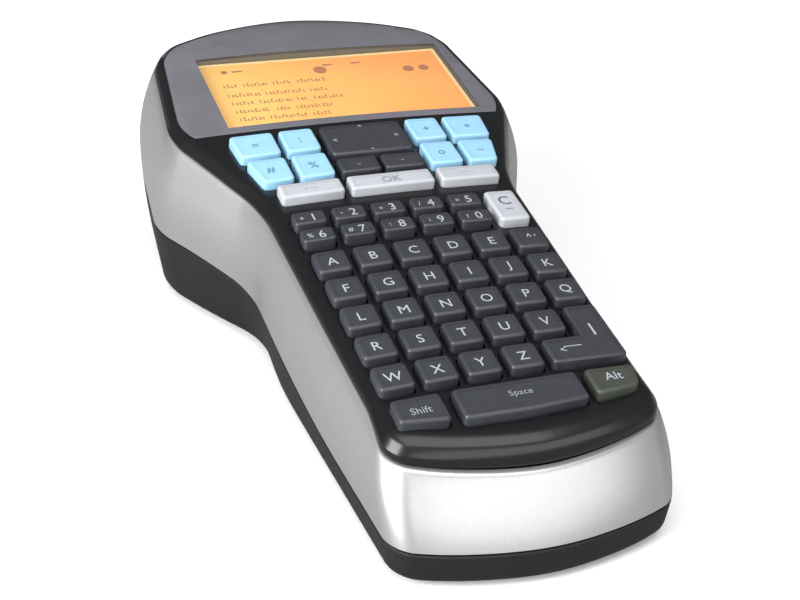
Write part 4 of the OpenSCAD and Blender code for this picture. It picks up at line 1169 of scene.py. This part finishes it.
    def base(self) -> None:
        """Builds the black base: the tub, cut open for the doors and sockets; the CAD's fittings on it are
        built by fittings.
        """
        tub = self.base_tub()
        tool = bmesh.new()
        gap, below = self.door_gap, -1
        for door in ("cassette_door", "battery_cover"):
            low, high = box_mm(door)
            cube(tool, (low.x - gap, low.y + self.leaf_from, below), (high.x + gap, high.y + gap, 5))
            middle = (low.x + high.x) / 2
            inner = (high.x - low.x) / 2 - self.hinge_in - self.hinge_l
            for side in (-1, 1):
                ends = (inner - gap, inner + self.hinge_l + gap)
                start, end = sorted(middle + side * e for e in ends)
                cube(tool, (start, low.y - gap, below), (end, low.y + self.knuckle_back, 5.4))
        rear = self.outline.rear
        blade_low, blade_high = box_mm("cutter_blade")
        plane = box_mm("platen_roller")[0].x
        cube(tool, (plane - self.exit_half, rear - 26, blade_low.z),
             (plane + self.exit_half, rear + 4, blade_high.z))
        self.button_opening(tool, 12)
        low, high = box_mm("dc_jack")
        middle = (low + high) / 2
        rod(tool, (middle.x, high.y - 14, middle.z), (middle.x, rear + 2, middle.z), self.jack_r)
        low, high = box_mm("usb_port")
        cube(tool, (low.x - 0.5, low.y - 1, low.z - 0.4), (high.x + 0.5, rear + 2, high.z + 0.4))
        for node, depth, radius in (("rubber_feet", 1.6, self.foot_pad_r),
                                    ("housing_screws", 3.0, self.screw_head_r)):
            for place in self.islands(node):
                rod(tool, (place.x, place.y, below), (place.x, place.y, depth), radius)
        bm = boolean(tub, tool, "DIFFERENCE")
        make_piece("base_tub", bm, [FINISHES["black_abs"]], replaces=["base_shell"])

    @staticmethod
    def islands(node: str) -> list[Vector]:
        """Finds the separate solids of a node.

        Args:
            node: The CAD node.

        Returns:
            The middle of each, in millimetres.
        """
        bm = copy_node(node)
        left = set(bm.verts)
        middles = []
        while left:
            group, queue = set(), [left.pop()]
            while queue:
                vert = queue.pop()
                group.add(vert)
                for edge in vert.link_edges:
                    other = edge.other_vert(vert)
                    if other in left:
                        left.discard(other)
                        queue.append(other)
            low, high = corners_of(v.co for v in group)
            middles.append((low + high) / 2)
        bm.free()
        return middles

    def fittings(self) -> None:
        """Builds what stands on the base's floor: hinge ears, pins, ribs, columns and bosses."""
        bm = copy_node("base_shell")
        inside = Skin(self.outline)

        def at(z: float) -> Place:
            """A ring at a height, a little inside the outline."""
            return lambda home, out: Vector((*(home - out * self.fitting_inset).xy, z))

        inside.put(at(self.fitting_floor))
        inside.rise(at(40.0))
        inside.close_ends()
        bm = boolean(bm, inside.bm, "INTERSECT")
        make_piece("base_fittings", bm, [FINISHES["black_abs"]])


# ---------------------------------------------------------------- face, window and display
@dataclass
class Crown:
    """The gentle crown of the face: everything on it sits lower towards the sides.

    Attributes:
        outline: The body's outline.
        handle_drop: Drop at the handle's sides.
        head_drop: Drop at the head's sides.
        rear_drop: Drop at the display end.
        rear_reach: How far from the display end that drop starts.
    """

    outline: Outline
    handle_drop: float = 1.0
    head_drop: float = 1.5
    rear_drop: float = 2.2
    rear_reach: float = 20.0

    def drop(self, x: float, y: float) -> float:
        """How much lower the face is than on its centre line.

        Args:
            x: A place across the body.
            y: A place along the body.

        Returns:
            The drop.
        """
        rear = self.rear_drop * clamp(1 - (self.outline.rear - y) / self.rear_reach) ** 2
        half = self.outline.half_width(y)
        head = clamp((half - self.outline.handle_half) / (self.outline.head_half - self.outline.handle_half))
        most = self.handle_drop + (self.head_drop - self.handle_drop) * head
        return rear + most * min(1.0, abs(x) / max(half, 1.0)) ** 2

    def apply(self, bm: Mesh, face: FaceFrame, above: float = -100.0, full: float = -99.0) -> None:
        """Lowers a mesh that is in the model's frame.

        Args:
            bm: The mesh.
            face: The sloping face.
            above: Level in the face frame under which nothing moves.
            full: Level from which on the whole drop is taken.
        """
        back = face.matrix.inverted()
        for vert in bm.verts:
            level = (back @ vert.co).z
            share = clamp((level - above) / (full - above))
            vert.co -= face.normal * (self.drop(vert.co.x, vert.co.y) * share)


@dataclass
class FacePanel:
    """The black face plate with its rounded lip, the display window and the display.

    Attributes:
        outline: The body's outline.
        face: The sloping face.
        crown: The face's crown.
        housing: The shells that it sits in.
        lip: Height of the plate's rounded edge.
        lip_w: Width of the plate's rounded edge.
        front_lip: How much wider the rounded edge is at the keyboard end.
        gap: Gap between the plate and the silver edge.
        letter_pitch: Pitch of the letters on the display.
        word_gap: Gap between the words there.
        glass_t: Thickness of the display glass.
        rim_w: Width of the display's pale rim.
    """

    outline: Outline
    face: FaceFrame
    crown: Crown
    housing: Housing
    lip: float = 3.4
    lip_w: float = 2.6
    front_lip: float = 2.6
    gap: float = 0.25
    letter_pitch: float = 1.05
    word_gap: float = 1.3
    glass_t: float = 0.9
    rim_w: float = 0.9

    def ring(self, level: float, inset: float = 0.0, lip: float = 0.0) -> Place:
        """A ring of the plate.

        Args:
            level: Its level over the seat.
            inset: Its inset from the plate's widest ring.
            lip: How far over the rounded edge it lies, 1 being all the way.

        Returns:
            The place of each point of the ring.
        """
        def place(home: Vector, out: Vector) -> Vector:
            """The place of one vertex, from its home on the outline and its outward direction.

            Args:
                home: Its home.
                out: Its outward direction.

            Returns:
                Its place.
            """
            shift = self.outline.lean_shift(home.y, self.outline.lean_to_z)
            width = self.lip_w + self.front_lip * self.housing.frontness(home.y)
            back = inset + lip * width + self.housing.shoulder(home.y) + self.gap
            x, y = home.x - out.x * back, home.y - out.y * back + shift
            sill = self.housing.front_sill * self.housing.frontness(home.y)
            low = level - sill * max(0.0, 1 - max(0.0, level) / 3)
            return Vector((x, y, self.face.height(y) + low / math.cos(self.face.tilt)))
        return place

    def plate(self) -> None:
        """Builds the face plate, with the openings of the CAD plate."""
        low, high = self.face.span("face_plate")
        top = high.z - 0.02
        skin = Skin(self.outline)
        skin.put(self.ring(0.02, 0.5))
        skin.rise(self.ring(0.25, 0.0))
        for step in range(0, 10):
            angle = math.radians(10 * step)
            skin.rise(self.ring(top - self.lip + self.lip * math.sin(angle), lip=1 - math.cos(angle)))
        skin.close_ends()
        slab = Skin(self.outline)
        slab.put(self.ring(-3.0, lip=1.0))
        slab.rise(self.ring(high.z + 1.0, lip=1.0))
        slab.close_ends()
        holes = boolean(slab.bm, copy_node("face_plate"), "DIFFERENCE")
        bm = boolean(skin.bm, holes, "DIFFERENCE")
        up = self.face.normal
        slice_grid(bm, Vector((1, 0, 0)), -self.outline.head_half, self.outline.head_half, 3.0, up)
        slice_grid(bm, Vector((0, 1, 0)), self.outline.front, self.outline.rear, 6.0, up)
        self.crown.apply(bm, self.face, above=0.3, full=2.0)
        make_piece("face_panel", bm, [FINISHES["black_gloss"]], replaces=["face_plate"],
                   smooth=25.0)

    def window(self) -> None:
        """Builds the display window: printed dark, and clear over the display."""
        bm = copy_node("display_window")
        level = self.face.span("display_window")[1].z - 0.05
        top = [e for e in sharp_edges(bm, 60) if all(self.face.local(v.co).z > level for v in e.verts)]
        bevel(bm, top, 0.25, 2)
        low, high = self.face.span("lcd_panel")
        across, along = Vector((1, 0, 0)), Vector((0, math.cos(self.face.tilt), math.sin(self.face.tilt)))
        for x in (low.x, high.x):
            bmesh.ops.bisect_plane(bm, geom=[*bm.verts, *bm.edges, *bm.faces], dist=0.0005,
                                   plane_co=(x, 0, 0), plane_no=across)
        for v in (low.y, high.y):
            bmesh.ops.bisect_plane(bm, geom=[*bm.verts, *bm.edges, *bm.faces], dist=0.0005,
                                   plane_co=self.face.matrix @ Vector((0, v, 0)), plane_no=along)
        slice_grid(bm, across, -self.outline.head_half, self.outline.head_half, 3.0)
        slice_grid(bm, along, 0, self.outline.rear, 6.0)
        for face in bm.faces:
            middle = self.face.local(face.calc_center_median())
            over = low.x < middle.x < high.x and low.y < middle.y < high.y
            face.material_index = 1 if over else 0
        self.crown.apply(bm, self.face)
        make_piece("window_panel", bm, [FINISHES["tinted_window"], WINDOW_CLEAR],
                   replaces=["display_window"])

    def display(self) -> None:
        """Builds the display glass, its pale rim and the segments that show on it."""
        low, high = self.face.span("lcd_panel")
        top = low.z + self.glass_t
        bm = bmesh.new()
        cube(bm, (low.x, low.y, low.z), (high.x, high.y, top))
        bevel(bm, sharp_edges(bm), 0.15, 2)
        bmesh.ops.transform(bm, matrix=self.face.matrix, verts=bm.verts)
        make_piece("display_glass", bm, [FINISHES["lcd_amber"]], replaces=["lcd_panel"])
        rim = bmesh.new()
        width = self.rim_w
        for a, b in (((low.x, low.y), (high.x, low.y + width)), ((low.x, high.y - width), (high.x, high.y)),
                     ((low.x, low.y + width), (low.x + width, high.y - width)),
                     ((high.x - width, low.y + width), (high.x, high.y - width))):
            cube(rim, (*a, top), (*b, top + 0.05))
        bmesh.ops.transform(rim, matrix=self.face.matrix, verts=rim.verts)
        make_piece("display_rim", rim, [LCD_RIM])
        self.segments(low, high, top)

    def segments(self, low: Vector, high: Vector, top: float) -> None:
        """Builds the dark segments: lines of word-like blocks, and a few round icons.

        Args:
            low: The glass's lowest corner in the face frame.
            high: Its highest corner.
            top: Level of its surface.
        """
        width, length = high.x - low.x, high.y - low.y
        words = bmesh.new()
        lines = ((0.64, (0.06, 0.1, 0.08, 0.12)), (0.5, (0.13, 0.16, 0.07)),
                 (0.385, (0.09, 0.13, 0.05, 0.12)), (0.27, (0.14, 0.06, 0.15)), (0.16, (0.1, 0.15, 0.08)))
        for share, blocks in lines:
            x = low.x + width * 0.07
            for block in blocks:
                letters = max(2, round(block * width / self.letter_pitch))
                for i in range(letters):
                    tall = 1.1 + 0.6 * ((i * 7 + round(share * 100)) % 3) / 2
                    start, base = x + i * self.letter_pitch, low.y + length * share
                    cube(words, (start, base, top + 0.02), (start + 0.3, base + tall, top + 0.06))
                    if i % 2:
                        cube(words, (start + 0.3, base + tall - 0.35, top + 0.02),
                             (start + 0.75, base + tall, top + 0.06))
                    if i % 3:
                        cube(words, (start + 0.3, base, top + 0.02), (start + 0.7, base + 0.35, top + 0.06))
                x += block * width + self.word_gap
        bmesh.ops.transform(words, matrix=self.face.matrix, verts=words.verts)
        make_piece("display_words", words, [LCD_SEGMENT])
        icons = bmesh.new()
        for x, y, r in ((0.48, 0.8, 1.9), (0.84, 0.72, 1.6), (0.905, 0.72, 1.5), (0.1, 0.87, 0.9)):
            middle = Vector((low.x + width * x, low.y + length * y, top + 0.03))
            rod(icons, middle, middle + Vector((0, 0, 0.04)), r, sides=24)
        for x in (0.13, 0.5, 0.62):
            cube(icons, (low.x + width * x, low.y + length * 0.86, top + 0.02),
                 (low.x + width * x + 3.0, low.y + length * 0.86 + 0.7, top + 0.06))
        bmesh.ops.transform(icons, matrix=self.face.matrix, verts=icons.verts)
        make_piece("display_icons", icons, [LCD_ICON])


# ---------------------------------------------------------------- keys
class Print(Enum):
    """The ink of a key's legend."""

    WHITE = WHITE_PRINT
    DARK = DARK_PRINT
    FAINT = FAINT_PRINT
    SLATE = SLATE_PRINT


@dataclass(frozen=True)
class Legend:
    """What is printed on a cap.

    Attributes:
        words: The letters.
        size: Their height.
        ink: Their ink.
        shift: Their place from the cap's middle.
    """

    words: str
    size: float = 2.7
    ink: Print = Print.WHITE
    shift: tuple[float, float] = (0.0, 0.0)


@dataclass
class Keypad:
    """All key caps, made from the CAD keys, with soft edges, dished tops and printed legends.

    Attributes:
        face: The sloping face.
        crown: The face's crown.
        edge: Width of a cap's soft upper edge.
        dish: Depth of the hollow in a cap's top.
    """

    face: FaceFrame
    crown: Crown
    edge: float = 0.8
    dish: float = 0.22

    def caps(self, node: str, slot: str, edge: float, front: float) -> list[tuple[Vector, Vector]]:
        """Builds a node's caps.

        Args:
            node: The CAD node, which is also the body.
            slot: The record's material slot.
            edge: Width of the soft upper edge.
            front: How far the front side slopes back.

        Returns:
            For each cap, the lowest and highest corners of its top in the face frame.
        """
        bm = copy_node(node)
        back = self.face.matrix.inverted()
        bmesh.ops.transform(bm, matrix=back, verts=bm.verts)
        top = max(v.co.z for v in bm.verts)
        tops = [f for f in bm.faces if f.normal.z > 0.9 and f.calc_center_median().z > top - 0.1]
        spans = []
        for face in tops:
            low, high = corners_of(v.co for v in face.verts)
            spans.append((low, high))
            for vert in face.verts:
                nearness = 1 - (vert.co.y - low.y) / (high.y - low.y)
                vert.co.y += front * nearness ** 2
        rim = {e for f in tops for e in f.edges}
        bevel(bm, rim, edge, 4)
        tops = [f for f in bm.faces if f.normal.z > 0.9 and f.calc_center_median().z > top - 0.05]
        bmesh.ops.inset_region(bm, faces=tops, thickness=edge * 0.9, depth=0.0, use_even_offset=True)
        for vert in {v for f in tops for v in f.verts}:
            vert.co.z -= self.dish
        bmesh.ops.transform(bm, matrix=self.face.matrix, verts=bm.verts)
        self.crown.apply(bm, self.face, above=0.0, full=2.0)
        finish = GREEN_GREY_KEY if node == "alt_key" else FINISHES[slot]
        make_piece(node + "_caps", bm, [finish], body=node, replaces=[node], smooth=50.0)
        return sorted(spans, key=lambda s: (-round(s[0].y), s[0].x))

    def legends(self, node: str, spans: Sequence[tuple[Vector, Vector]],
                marks: Sequence[Sequence[Legend]]) -> None:
        """Prints the caps of a node.

        Args:
            node: The CAD node and body.
            spans: The caps' tops in the face frame, in reading order.
            marks: For each cap, its legends.
        """
        inks: dict[Print, Mesh] = {}
        for (low, high), cap_marks in zip(spans, marks):
            middle = (low + high) / 2
            for mark in cap_marks:
                letters = text_mesh(mark.words, mark.size)
                place = Matrix.Translation((middle.x + mark.shift[0], middle.y + mark.shift[1],
                                            high.z - self.dish + 0.03))
                merge_into(inks.setdefault(mark.ink, bmesh.new()), letters, place)
        for ink, bm in inks.items():
            bmesh.ops.transform(bm, matrix=self.face.matrix, verts=bm.verts)
            self.crown.apply(bm, self.face, above=0.0, full=2.0)
            make_piece(f"{node}_{ink.name.lower()}_print", bm, [ink.value], body=node)

    def build(self) -> None:
        """Builds every key."""
        spans = self.caps("number_keys", "key_charcoal", 0.6, front=0.9)
        symbols = "+-*/=%#:;?"
        marks = [[Legend(digit, 2.7, shift=(1.0, 0.35)), Legend(symbol, 1.5, shift=(-1.9, 0.3))]
                 for digit, symbol in zip("1234567890", symbols)]
        self.legends("number_keys", spans, marks)
        for letters in ("ABCDE", "FGHIJK", "LMNOPQ", "RSTUV", "WXYZ"):
            node = "letter_row_" + letters[0].lower()
            spans = self.caps(node, "key_charcoal", self.edge, 0.35)
            self.legends(node, spans, [[Legend(letter)] for letter in letters])
        plain = {
            "special_key": [Legend("^", 2.2, shift=(0, 0.8)), Legend("'", 2.0, shift=(1.6, 0.6))],
            "clear_key": [Legend("C", 3.4, Print.SLATE, (0, 2.0)), Legend("_", 3.0, Print.SLATE, (0, -1.6))],
            "enter_key": [Legend("<", 2.0, shift=(-5.2, -5.0)), Legend("_", 3.4, shift=(-3.4, -4.2)),
                          Legend("_", 3.4, shift=(-1.6, -4.2)), Legend("l", 4.0, shift=(4.6, 0.6))],
            "shift_key": [Legend("Shift", 1.9, Print.FAINT)],
            "space_key": [Legend("Space", 1.7, Print.FAINT, (0, 0.6))],
            "alt_key": [Legend("Alt", 2.4, shift=(-0.2, 1.0))],
            "grey_key_left": [Legend("- - -", 1.5, Print.FAINT)],
            "grey_key_middle": [Legend("OK", 2.4, Print.FAINT)],
            "grey_key_right": [Legend("- - -", 1.5, Print.FAINT)],
            "navigation_pad": [Legend("<", 1.6, shift=(-8.4, 0)), Legend(">", 1.6, shift=(8.4, 0)),
                               Legend("^", 1.6, shift=(0, 5.6)), Legend("v", 1.4, shift=(0, -5.6))],
        }
        slots = {"clear_key": "key_grey", "grey_key_left": "key_grey", "grey_key_middle": "key_grey",
                 "grey_key_right": "key_grey"}
        for node, marks in plain.items():
            spans = self.caps(node, slots.get(node, "key_charcoal"), self.edge, 0.3)
            self.legends(node, spans, [marks])
        spans = self.caps("dark_keys", "key_charcoal", 0.7, 0.3)
        self.legends("dark_keys", spans, [[Legend("-", 2.0, Print.FAINT)], [Legend("-", 2.0, Print.FAINT)]])
        glyphs = iter("=:+*#%o~")
        for level in ("upper", "lower"):
            for side in ("left_outer", "left_inner", "right_inner", "right_outer"):
                node = f"blue_key_{level}_{side}"
                spans = self.caps(node, "key_blue", 0.7, 0.25)
                self.legends(node, spans, [[Legend(next(glyphs), 2.6, Print.DARK)]])


# ---------------------------------------------------------------- doors, sockets and small parts
@dataclass
class SmallParts:
    """The doors, feet, cutter and sockets, finished from the CAD's shapes.

    Attributes:
        door_edge: Rounding of a door's edges.
        rib_l: Length of a door's grip ribs.
        spring_turns: Turns of the cutter's return spring.
    """

    door_edge: float = 0.25
    rib_l: float = 14.0
    spring_turns: int = 3

    def door(self, node: str) -> None:
        """Builds a door with soft edges and grip ribs beside its finger notch.

        Args:
            node: The door's CAD node, which is also its body.
        """
        bm = copy_node(node)
        low, high = box_mm(node)
        rims = [e for e in sharp_edges(bm, 60) if e.calc_length() > 12]
        bevel(bm, rims, self.door_edge, 2)
        middle = (low.x + high.x) / 2
        for row in range(4):
            y = high.y - 12.5 - row * 1.8
            rib = cube(bm, (middle - self.rib_l / 2, y - 0.45, low.z - 0.3),
                       (middle + self.rib_l / 2, y + 0.45, low.z + 0.3))
            bevel(bm, {e for v in rib for e in v.link_edges}, 0.2, 2)
        make_piece(node + "_moulding", bm, [FINISHES["black_abs"]], body=node, replaces=[node])

    def feet(self) -> None:
        """Builds the rubber feet with round lower edges."""
        bm = copy_node("rubber_feet")
        low = min(v.co.z for v in bm.verts)
        bevel(bm, [e for e in sharp_edges(bm, 60) if all(v.co.z < low + 0.01 for v in e.verts)], 0.5, 4)
        make_piece("feet", bm, [FINISHES["foot_rubber"]], replaces=["rubber_feet"])

    def button(self) -> None:
        """Builds the cutter button with soft edges and upright grip ribs."""
        bm = copy_node("cutter_button")
        low, high = box_mm("cutter_button")
        face = [e for e in sharp_edges(bm, 60) if all(v.co.x > high.x - 0.01 for v in e.verts)]
        bevel(bm, face, 0.7, 4)
        for i in range(4):
            y = (low.y + high.y) / 2 + (i - 1.5) * 1.5
            rib = cube(bm, (high.x - 0.6, y - 0.35, low.z + 3.2), (high.x + 0.3, y + 0.35, high.z - 3.2))
            bevel(bm, {e for v in rib for e in v.link_edges}, 0.2, 2)
        make_piece("cutter_grip", bm, [FINISHES["charcoal_abs"]], body="cutter", replaces=["cutter_button"])

    def spring(self) -> None:
        """Builds the return spring as one coil of wire."""
        low, high = box_mm("cutter_spring")
        middle = (low + high) / 2
        wire = 0.25
        radius = (high.z - low.z) / 2 - wire
        bm = bmesh.new()
        matrix = Matrix.Translation((low.x + wire, middle.y, middle.z + radius)) @ Matrix.Rotation(
            math.radians(90), 4, "Y") @ Matrix.Rotation(math.radians(90), 4, "X")
        ring = bmesh.ops.create_circle(bm, cap_ends=True, segments=12, radius=wire, matrix=matrix)["verts"]
        steps = 28 * self.spring_turns
        advance = (high.x - low.x - 2 * wire) / steps
        bmesh.ops.spin(bm, geom=[*ring, *bm.edges, *bm.faces], cent=(low.x, middle.y, middle.z),
                       axis=(1, 0, 0), dvec=(advance, 0, 0), angle=math.tau * self.spring_turns, steps=steps,
                       use_duplicate=False)
        bmesh.ops.recalc_face_normals(bm, faces=bm.faces)
        make_piece("spring_coil", bm, [FINISHES["screw_steel"]], replaces=["cutter_spring"])

    def sockets(self) -> None:
        """Adds the power socket's pin and the data socket's tongue with its contacts."""
        low, high = box_mm("dc_jack")
        middle = (low + high) / 2
        pin = bmesh.new()
        rod(pin, (middle.x, high.y - 9.2, middle.z), (middle.x, high.y - 1.2, middle.z), 0.62, sides=24)
        tip = [e for e in sharp_edges(pin, 60) if all(v.co.y > high.y - 1.3 for v in e.verts)]
        bevel(pin, tip, 0.3, 3)
        make_piece("jack_pin", pin, [FINISHES["socket_steel"]])
        low, high = box_mm("usb_port")
        middle = (low + high) / 2
        tongue = bmesh.new()
        cube(tongue, (middle.x - 2.4, high.y - 7.2, middle.z - 0.1),
             (middle.x + 2.4, high.y - 1.0, middle.z + 0.7))
        bevel(tongue, sharp_edges(tongue), 0.12, 2)
        make_piece("usb_tongue", tongue, [FINISHES["black_gloss"]])
        pins = bmesh.new()
        for i in range(5):
            x = middle.x + (i - 2) * 0.85
            cube(pins, (x - 0.18, high.y - 6.5, middle.z - 0.16), (x + 0.18, high.y - 1.3, middle.z - 0.08))
        make_piece("usb_contacts", pins, [FINISHES["contact_brass"]])

    def build(self) -> None:
        """Builds them all."""
        for node in ("cassette_door", "battery_cover"):
            self.door(node)
        self.feet()
        self.button()
        self.spring()
        self.sockets()


# ---------------------------------------------------------------- stage
@dataclass
class Studio:
    """The pale floor, the soft lights and the camera.

    Attributes:
        aim: What the camera looks at.
        azimuth: Direction of the camera round the body.
        elevation: Its angle above the table.
        distance: Its distance from what it looks at.
        roll: Its turn round its own line of sight.
        lens: Its focal length, on a 36 mm sensor.
        bright_side: Direction in which the room is brightest.
        dark: Light from the room's dark side.
        bright: Light from its bright side.
    """

    aim: tuple[float, float, float] = (-14.24, -40.38, 37.61)
    azimuth: float = -22.58
    elevation: float = 29.31
    distance: float = 344.33
    roll: float = 3.948
    lens: float = 69.07
    bright_side: tuple[float, float, float] = (-0.35, -0.85, 0.4)
    dark: float = 0.16
    bright: float = 0.75

    @staticmethod
    def direction(azimuth: float, elevation: float) -> Vector:
        """Towards an azimuth round the body and an elevation above the table."""
        az, el = math.radians(azimuth), math.radians(elevation)
        return Vector((math.sin(az) * math.cos(el), -math.cos(az) * math.cos(el), math.sin(el)))

    def camera(self) -> None:
        """Makes the camera."""
        az, ro = math.radians(self.azimuth), math.radians(self.roll)
        back = self.direction(self.azimuth, self.elevation)
        right = Vector((math.cos(az), math.sin(az), 0))
        up = back.cross(right)
        x_axis = right * math.cos(ro) + up * math.sin(ro)
        y_axis = up * math.cos(ro) - right * math.sin(ro)
        data = bpy.data.cameras.new("camera")
        data.sensor_width = 36
        data.lens = self.lens
        data.clip_start, data.clip_end = 0.01, 20
        camera = add_object("camera", data)
        turn = Matrix((x_axis, y_axis, back)).transposed().to_4x4()
        place = (Vector(self.aim) + back * self.distance) * MM
        camera.matrix_world = Matrix.Translation(place) @ turn
        bpy.context.scene.camera = camera

    def floor(self) -> None:
        """Makes the pale floor."""
        bm = bmesh.new()
        bmesh.ops.create_grid(bm, x_segments=1, y_segments=1, size=4.0)
        data = bpy.data.meshes.new("floor")
        bm.to_mesh(data)
        bm.free()
        material = bpy.data.materials.new("Paper_white_backdrop")
        material.use_nodes = True
        tree = material.node_tree
        shader = tree.nodes["Principled BSDF"]
        seen = add_node(tree, "ShaderNodeLightPath").outputs["Is Camera Ray"]
        paper = add_node(tree, "ShaderNodeMix", {"Factor": seen, 6: linear("#9C9C9C"), 7: linear("#FAFAFA")},
                         data_type="RGBA")
        tree.links.new(paper.outputs[2], shader.inputs["Base Color"])
        # from underneath the floor can be looked through, so that the doors in the base show
        under = add_node(tree, "ShaderNodeNewGeometry").outputs["Backfacing"]
        clear = add_node(tree, "ShaderNodeBsdfTransparent")
        sides = add_node(tree, "ShaderNodeMixShader", {0: under, 1: shader.outputs[0], 2: clear.outputs[0]})
        tree.links.new(sides.outputs[0], tree.nodes["Material Output"].inputs[0])
        shader.inputs["Roughness"].default_value = 0.9
        data.materials.append(material)
        add_object("floor", data)

    def light(self, name: str, azimuth: float, elevation: float, distance: float, size: tuple[float, float],
              power: float) -> None:
        """Makes a soft box that looks at the body.

        Args:
            name: Its name.
            azimuth: Its direction, as the camera's.
            elevation: Its angle above the table.
            distance: Its distance in metres.
            size: Its width and height in metres.
            power: Its power in watts.
        """
        back = self.direction(azimuth, elevation)
        data = bpy.data.lights.new(name, "AREA")
        data.shape = "RECTANGLE"
        data.size, data.size_y = size
        data.energy = power
        lamp = add_object(name, data)
        turn = back.to_track_quat("Z", "Y").to_matrix().to_4x4()
        lamp.matrix_world = Matrix.Translation(back * distance) @ turn

    def build(self) -> None:
        """Makes the floor, lights and camera."""
        world = bpy.data.worlds.new("studio")
        bpy.context.scene.world = world
        world.use_nodes = True
        tree = world.node_tree
        ground = tree.nodes["Background"]
        sky = add_node(tree, "ShaderNodeTexCoord").outputs["Generated"]
        turned = add_node(tree, "ShaderNodeVectorMath", {0: sky, 1: self.bright_side},
                          operation="DOT_PRODUCT")
        shade = add_node(tree, "ShaderNodeMapRange",
                         {"Value": turned.outputs["Value"], "From Min": -0.6, "From Max": 0.9,
                          "To Min": self.dark, "To Max": self.bright})
        seen = add_node(tree, "ShaderNodeLightPath").outputs["Is Camera Ray"]
        both = add_node(tree, "ShaderNodeMix", {"Factor": seen, "A": shade.outputs[0], "B": 1.0})
        tree.links.new(both.outputs[0], ground.inputs["Strength"])
        ground.inputs["Color"].default_value = linear("#FFFFFF")
        bpy.context.scene.view_settings.view_transform = "Standard"
        self.floor()
        self.light("top_box", 0, 75, 1.2, (1.2, 0.9), 9)
        self.light("left_strip", -72, 20, 0.9, (0.45, 0.8), 15)
        self.light("front_box", 14, 24, 1.0, (1.3, 0.5), 4)
        self.camera()


# ---------------------------------------------------------------- assembly
def dress_cad_nodes() -> None:
    """Gives every CAD node the finish of its record slot."""
    for name, node in frame["nodes"].items():
        slot = node.data.materials[0].name
        node.data.materials[0] = FINISHES[slot].build()
        LOG.info("%s: finish %s", name, FINISHES[slot].name)


def main() -> None:
    """Builds the whole label maker in order."""
    logging.basicConfig(level=logging.INFO, format="%(name)s: %(message)s")
    dress_cad_nodes()
    outline = Outline()
    face = FaceFrame.from_model()
    crown = Crown(outline)
    housing = Housing(outline, face)
    housing.silver()
    housing.base()
    housing.fittings()
    panel = FacePanel(outline, face, crown, housing)
    panel.plate()
    panel.window()
    panel.display()
    Keypad(face, crown).build()
    SmallParts().build()
    Studio().build()


if __name__ == "__main__":
    main()
